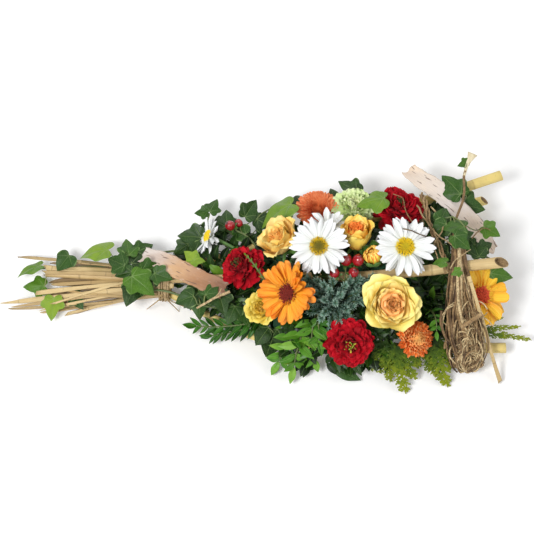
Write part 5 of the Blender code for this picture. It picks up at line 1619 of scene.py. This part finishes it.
given, result = group("birch_bark", "Shader", "Colour, Height",
                      Color="First, Second, Third, Fourth, Fifth, Flakes, Worn",
                      Float="Second Place, Third Place, Fourth Place, Fifth Place")
uv = coords("UV")
STRIP_LENGTH = 0.17
place = (along() + (grain(uv, 55, 4, 0.65, (1, 0.6, 1)) - 0.5) * 0.06) / STRIP_LENGTH
colour = graded(place, (0.0, given["First"]), *((given[name + " Place"], given[name])
                                                for name in ("Second", "Third", "Fourth", "Fifth")))
colour = mixed(fade(grain(uv, 30, 3, 0.6, (1, 0.5, 1)), 0.42, 0.56, 0.42, 0.0), colour, given["Worn"])
flaking = grain(uv, 130, 5, 0.75, (1, 0.35, 1))
colour = mixed(fade(flaking, 0.58, 0.66, 0.0, 0.5), colour, given["Flakes"])
fibres = grain(uv, 700, 4, 0.7, (1, 0.10, 1))
colour = mixed(fade(fibres, 0.35, 0.65, 0.20, 0.0), colour, (0.40, 0.28, 0.22))
dashes = fade(grain(uv, 380, 2, 0.4, (1, 0.14, 1)), 0.63, 0.66, 0.0, 0.85)
feed(result, mixed(dashes, colour, (0.17, 0.10, 0.07)), fibres + flaking * 1.5)
BIRCH_BARK = net  # Colour along the strip, fine fibres, dark dashes, and rubbed places that show the layer below


def birch_finish(name, *values):
    return dressed(material(name, Roughness=0.7), BIRCH_BARK, (0.45, 0.0008), *values)


bark_white = birch_finish("bark_white", (0.88, 0.68, 0.48), (0.88, 0.75, 0.60), (0.80, 0.72, 0.67), (0.90, 0.74, 0.60),
                          (0.90, 0.70, 0.54), (0.97, 0.93, 0.88), (0.74, 0.66, 0.62), 0.15, 0.45, 0.7, 1.0)
bark_peach = birch_finish("bark_peach", (0.72, 0.68, 0.64), (0.74, 0.66, 0.60), (0.66, 0.41, 0.21),
                          (0.45, 0.22, 0.095), (0.22, 0.10, 0.05), (0.76, 0.69, 0.62), (0.48, 0.30, 0.20), 0.14, 0.30,
                          0.48, 0.70)
BARK_THICKNESS = 0.0009
STRIP_ROWS = 64
STRIP_COLUMNS = 14


def bark_strip(name, stations, finish, node, seed, notch):
    """A strip along stations of (x, y, z, half width, lean): dished across, ragged at its rims and torn ends."""
    chosen = random.Random(seed)
    points = smooth(mm(station[:3] for station in stations), 12)
    shape = smooth([(half * 0.001, lean, 0) for *_, half, lean in stations], 12)
    ways, lengths = headings(points), runs(points)
    phases = [chosen.uniform(0, 6.28) for _ in range(6)]
    top, under, uvs = [], [], []
    for row in range(STRIP_ROWS + 1):
        share = row / STRIP_ROWS
        spot = min(share * (len(points) - 1), len(points) - 1.0001)
        low, part = int(spot), spot - int(spot)
        run = lengths[low] + (lengths[low + 1] - lengths[low]) * part
        way = ways[low].lerp(ways[low + 1], part).normalized()
        half, lean = shape[low].lerp(shape[low + 1], part).to_2d()
        rise = square_to(way, Vector((0, lean, 1)))
        for column in range(STRIP_COLUMNS + 1):
            u = 2 * column / STRIP_COLUMNS - 1
            wide = half + 0.0005 * math.sin(run * 310 + phases[0] + u) + 0.0003 * math.sin(run * 830 + phases[1] * u)
            torn = notch * (0.5 + 0.5 * math.cos(u * 4.2 + phases[2])) * max(0.0, 1 - share * 9)
            torn -= 0.003 * math.sin(u * 5 + phases[3]) * max(0.0, share * 9 - 8)
            lift = 0.0016 * u * u + 0.0010 * math.sin(run * 95 + u * 2 + phases[4])
            lift += 0.0022 * max(0.0, abs(u) - 0.8) * math.sin(run * 140 + phases[5] + 3 * u)
            at = points[low].lerp(points[low + 1], part) + way * torn + way.cross(rise) * u * wide + rise * lift
            top.append(at + rise * BARK_THICKNESS / 2)
            under.append(at - rise * BARK_THICKNESS / 2)
            uvs.append((u * wide, run))
    faces = grid(STRIP_ROWS, STRIP_COLUMNS)
    count, across = len(top), STRIP_COLUMNS + 1
    faces += [tuple(i + count for i in face[::-1]) for face in faces]
    rim = [*range(across), *range(across + STRIP_COLUMNS, count, across)]
    rim += [*range(count - 2, count - across - 1, -1), *range(count - 2 * across, 0, -across)]
    faces += [(a, b, b + count, a + count) for a, b in zip(rim, rim[1:] + rim[:1])]
    obj = mesh_object(name, top + under, faces, finish, uvs=uvs + uvs)
    obj.data.update()
    if sum(face.center.dot(face.normal) * face.area for face in obj.data.polygons) < 0:
        obj.data.flip_normals()
    ride(obj, "birch_bark", node)


bark_strip("bark_strip_left_peel", ((-265, 51, 48, 12, 0.2), (-236, 38, 56, 13.5, 0.1), (-200, 17, 60, 13, 0),
                                    (-153, -8, 66, 13, -0.1)), bark_peach, "bark_strip_left", 3, 0.001)
bark_strip("bark_strip_right_peel", ((86, 168, 66, 11, 0), (101, 150, 73, 13.5, 0.1), (128, 127, 75, 15, 0.2),
                                     (158, 96, 69, 14.5, 0.2), (177, 73, 62, 14, 0.1), (190, 51, 55, 12, 0)),
           bark_white, "bark_strip_right", 5, 0.003)

# ---------------------------------------------------------------------------
# Filling. Short sprigs of box and ivy, pushed in all round between the flowers until
# no foam shows: a low mound of dark glossy leaves, with some light young tips.

filler_leaves = hidden_set("filler_leaves", *(
    leaf(f"filler_leaf_{n}", PLAIN_EDGE, fold, droop, 0.03, 2, n, hub=0.4, steps=1, shares=(0.45, 0.8, 1.0))
    for n, (fold, droop) in enumerate(((0.25, 0.3), (0.12, 0.5), (0.35, -0.1)))))
filler_green = leaf_finish("filler_green", (0.004, 0.014, 0.002), (0.016, 0.055, 0.004), (0.07, 0.19, 0.012),
                           (0.26, 0.40, 0.04), (0.12, 0.24, 0.05), 0.45, 0.36)
MOUNDS = (  # middle, half lengths, floor and top of each mound of leaves, how many leaves
    ((-5, 8), (152, 100), 18, 86, 900),
    ((-150, 36), (64, 58), 22, 56, 220),
    ((120, 60), (44, 60), 22, 80, 130),
    ((108, -14), (42, 48), 20, 66, 150),
)
HEAD_BACK = 0.35  # Leaves keep out of this much behind a flower's face, and this far round its axis, by its radius
HEAD_WIDTH = 0.98
CANE_START = Vector((-0.235, 0.020, 0.040))  # The straight line that the top cane keeps close to
CANE_RUN = Vector((0.433, -0.012, 0.076))
TRIES = 4  # For each leaf of a mound, at most
BARK_ROOM = 0.010
FRONT_LEFT = (-0.088, -0.040)  # No leaf's tip lies both to the left and to the front of this


def covers(point):
    """Whether a leaf at this point would lie over a flower or the top cane."""
    for face, facing, radius in HEADS:
        away = point - face
        axial = away.dot(facing)
        if axial > -HEAD_BACK * radius and (away - facing * axial).length < radius * HEAD_WIDTH:
            return True
    line = CANE_START + CANE_RUN * ((point.x - CANE_START.x) / CANE_RUN.x)
    return point.x > -0.02 and point.z > line.z - 0.010 and abs(point.y - line.y) < 0.011


def under_bark(point):
    """Whether a point is in the room that the left strip of bark takes up, where leaves are set lower."""
    return (-0.245 < point.x < -0.145 and abs(point.y + 0.008 + (point.x + 0.153) * 0.55) < 0.018
            and point.z > 0.048)


chosen = random.Random(77)
spots, twigs = [], []
for (mid_x, mid_y), (half_x, half_y), floor, peak, count in MOUNDS:
    kept = 0
    for _ in range(count * TRIES):
        if kept == count:
            break
        turn, reach = chosen.uniform(0, 2 * math.pi), math.sqrt(chosen.random())
        x, y = mid_x + half_x * reach * math.cos(turn), mid_y + half_y * reach * math.sin(turn)
        z = floor + (peak - floor) * (1 - reach * reach) ** 0.6 - chosen.uniform(0, 10)
        base = Vector((x, y, z)) * 0.001
        outward = Vector((math.cos(turn) * reach, math.sin(turn) * reach, 0.55 - 0.8 * reach))
        heading = outward + Vector((chosen.uniform(-0.8, 0.8), chosen.uniform(-0.8, 0.8), chosen.uniform(-0.4, 0.5)))
        rise = Vector((outward.x * 0.5 + chosen.uniform(-0.4, 0.4),
                       outward.y * 0.5 - 0.25 + chosen.uniform(-0.4, 0.4), 1))
        length = chosen.uniform(0.014, 0.024)
        tip = base + heading.normalized() * length
        if covers(base) or covers(tip) or covers(base.lerp(tip, 0.5)) or tip.z < LOWEST_TIP:
            continue
        if tip.x < FRONT_LEFT[0] and tip.y < FRONT_LEFT[1]:
            continue
        kept += 1
        for point in (base, tip):
            if under_bark(point):
                base.z -= BARK_ROOM
        tone = chosen.uniform(0.05, 0.55) * (0.5 + 0.5 * chosen.random()) + (0.4 if chosen.random() < 0.05 else 0)
        spots.append((base, heading, rise, (length, length * chosen.uniform(0.8, 1.1), length), tone))
        if kept % 3 == 0:
            root = Vector((within(base.x * 0.75, 0.085), within(base.y * 0.6, 0.034), min(0.055, base.z * 0.8)))
            bend = smooth([root, root.lerp(base, 0.5) + Vector((0, 0, 0.004)), base], 4)
            twigs.append((bend, (0.0008, 0.0008), 0.15))
sow("filling_leaves", spots, filler_leaves, filler_green, "boxwood_leaf", ruffle=0.002, seed=8)
strands("filling_twigs", twigs, stalk_green, "boxwood_leaf", sides=4)
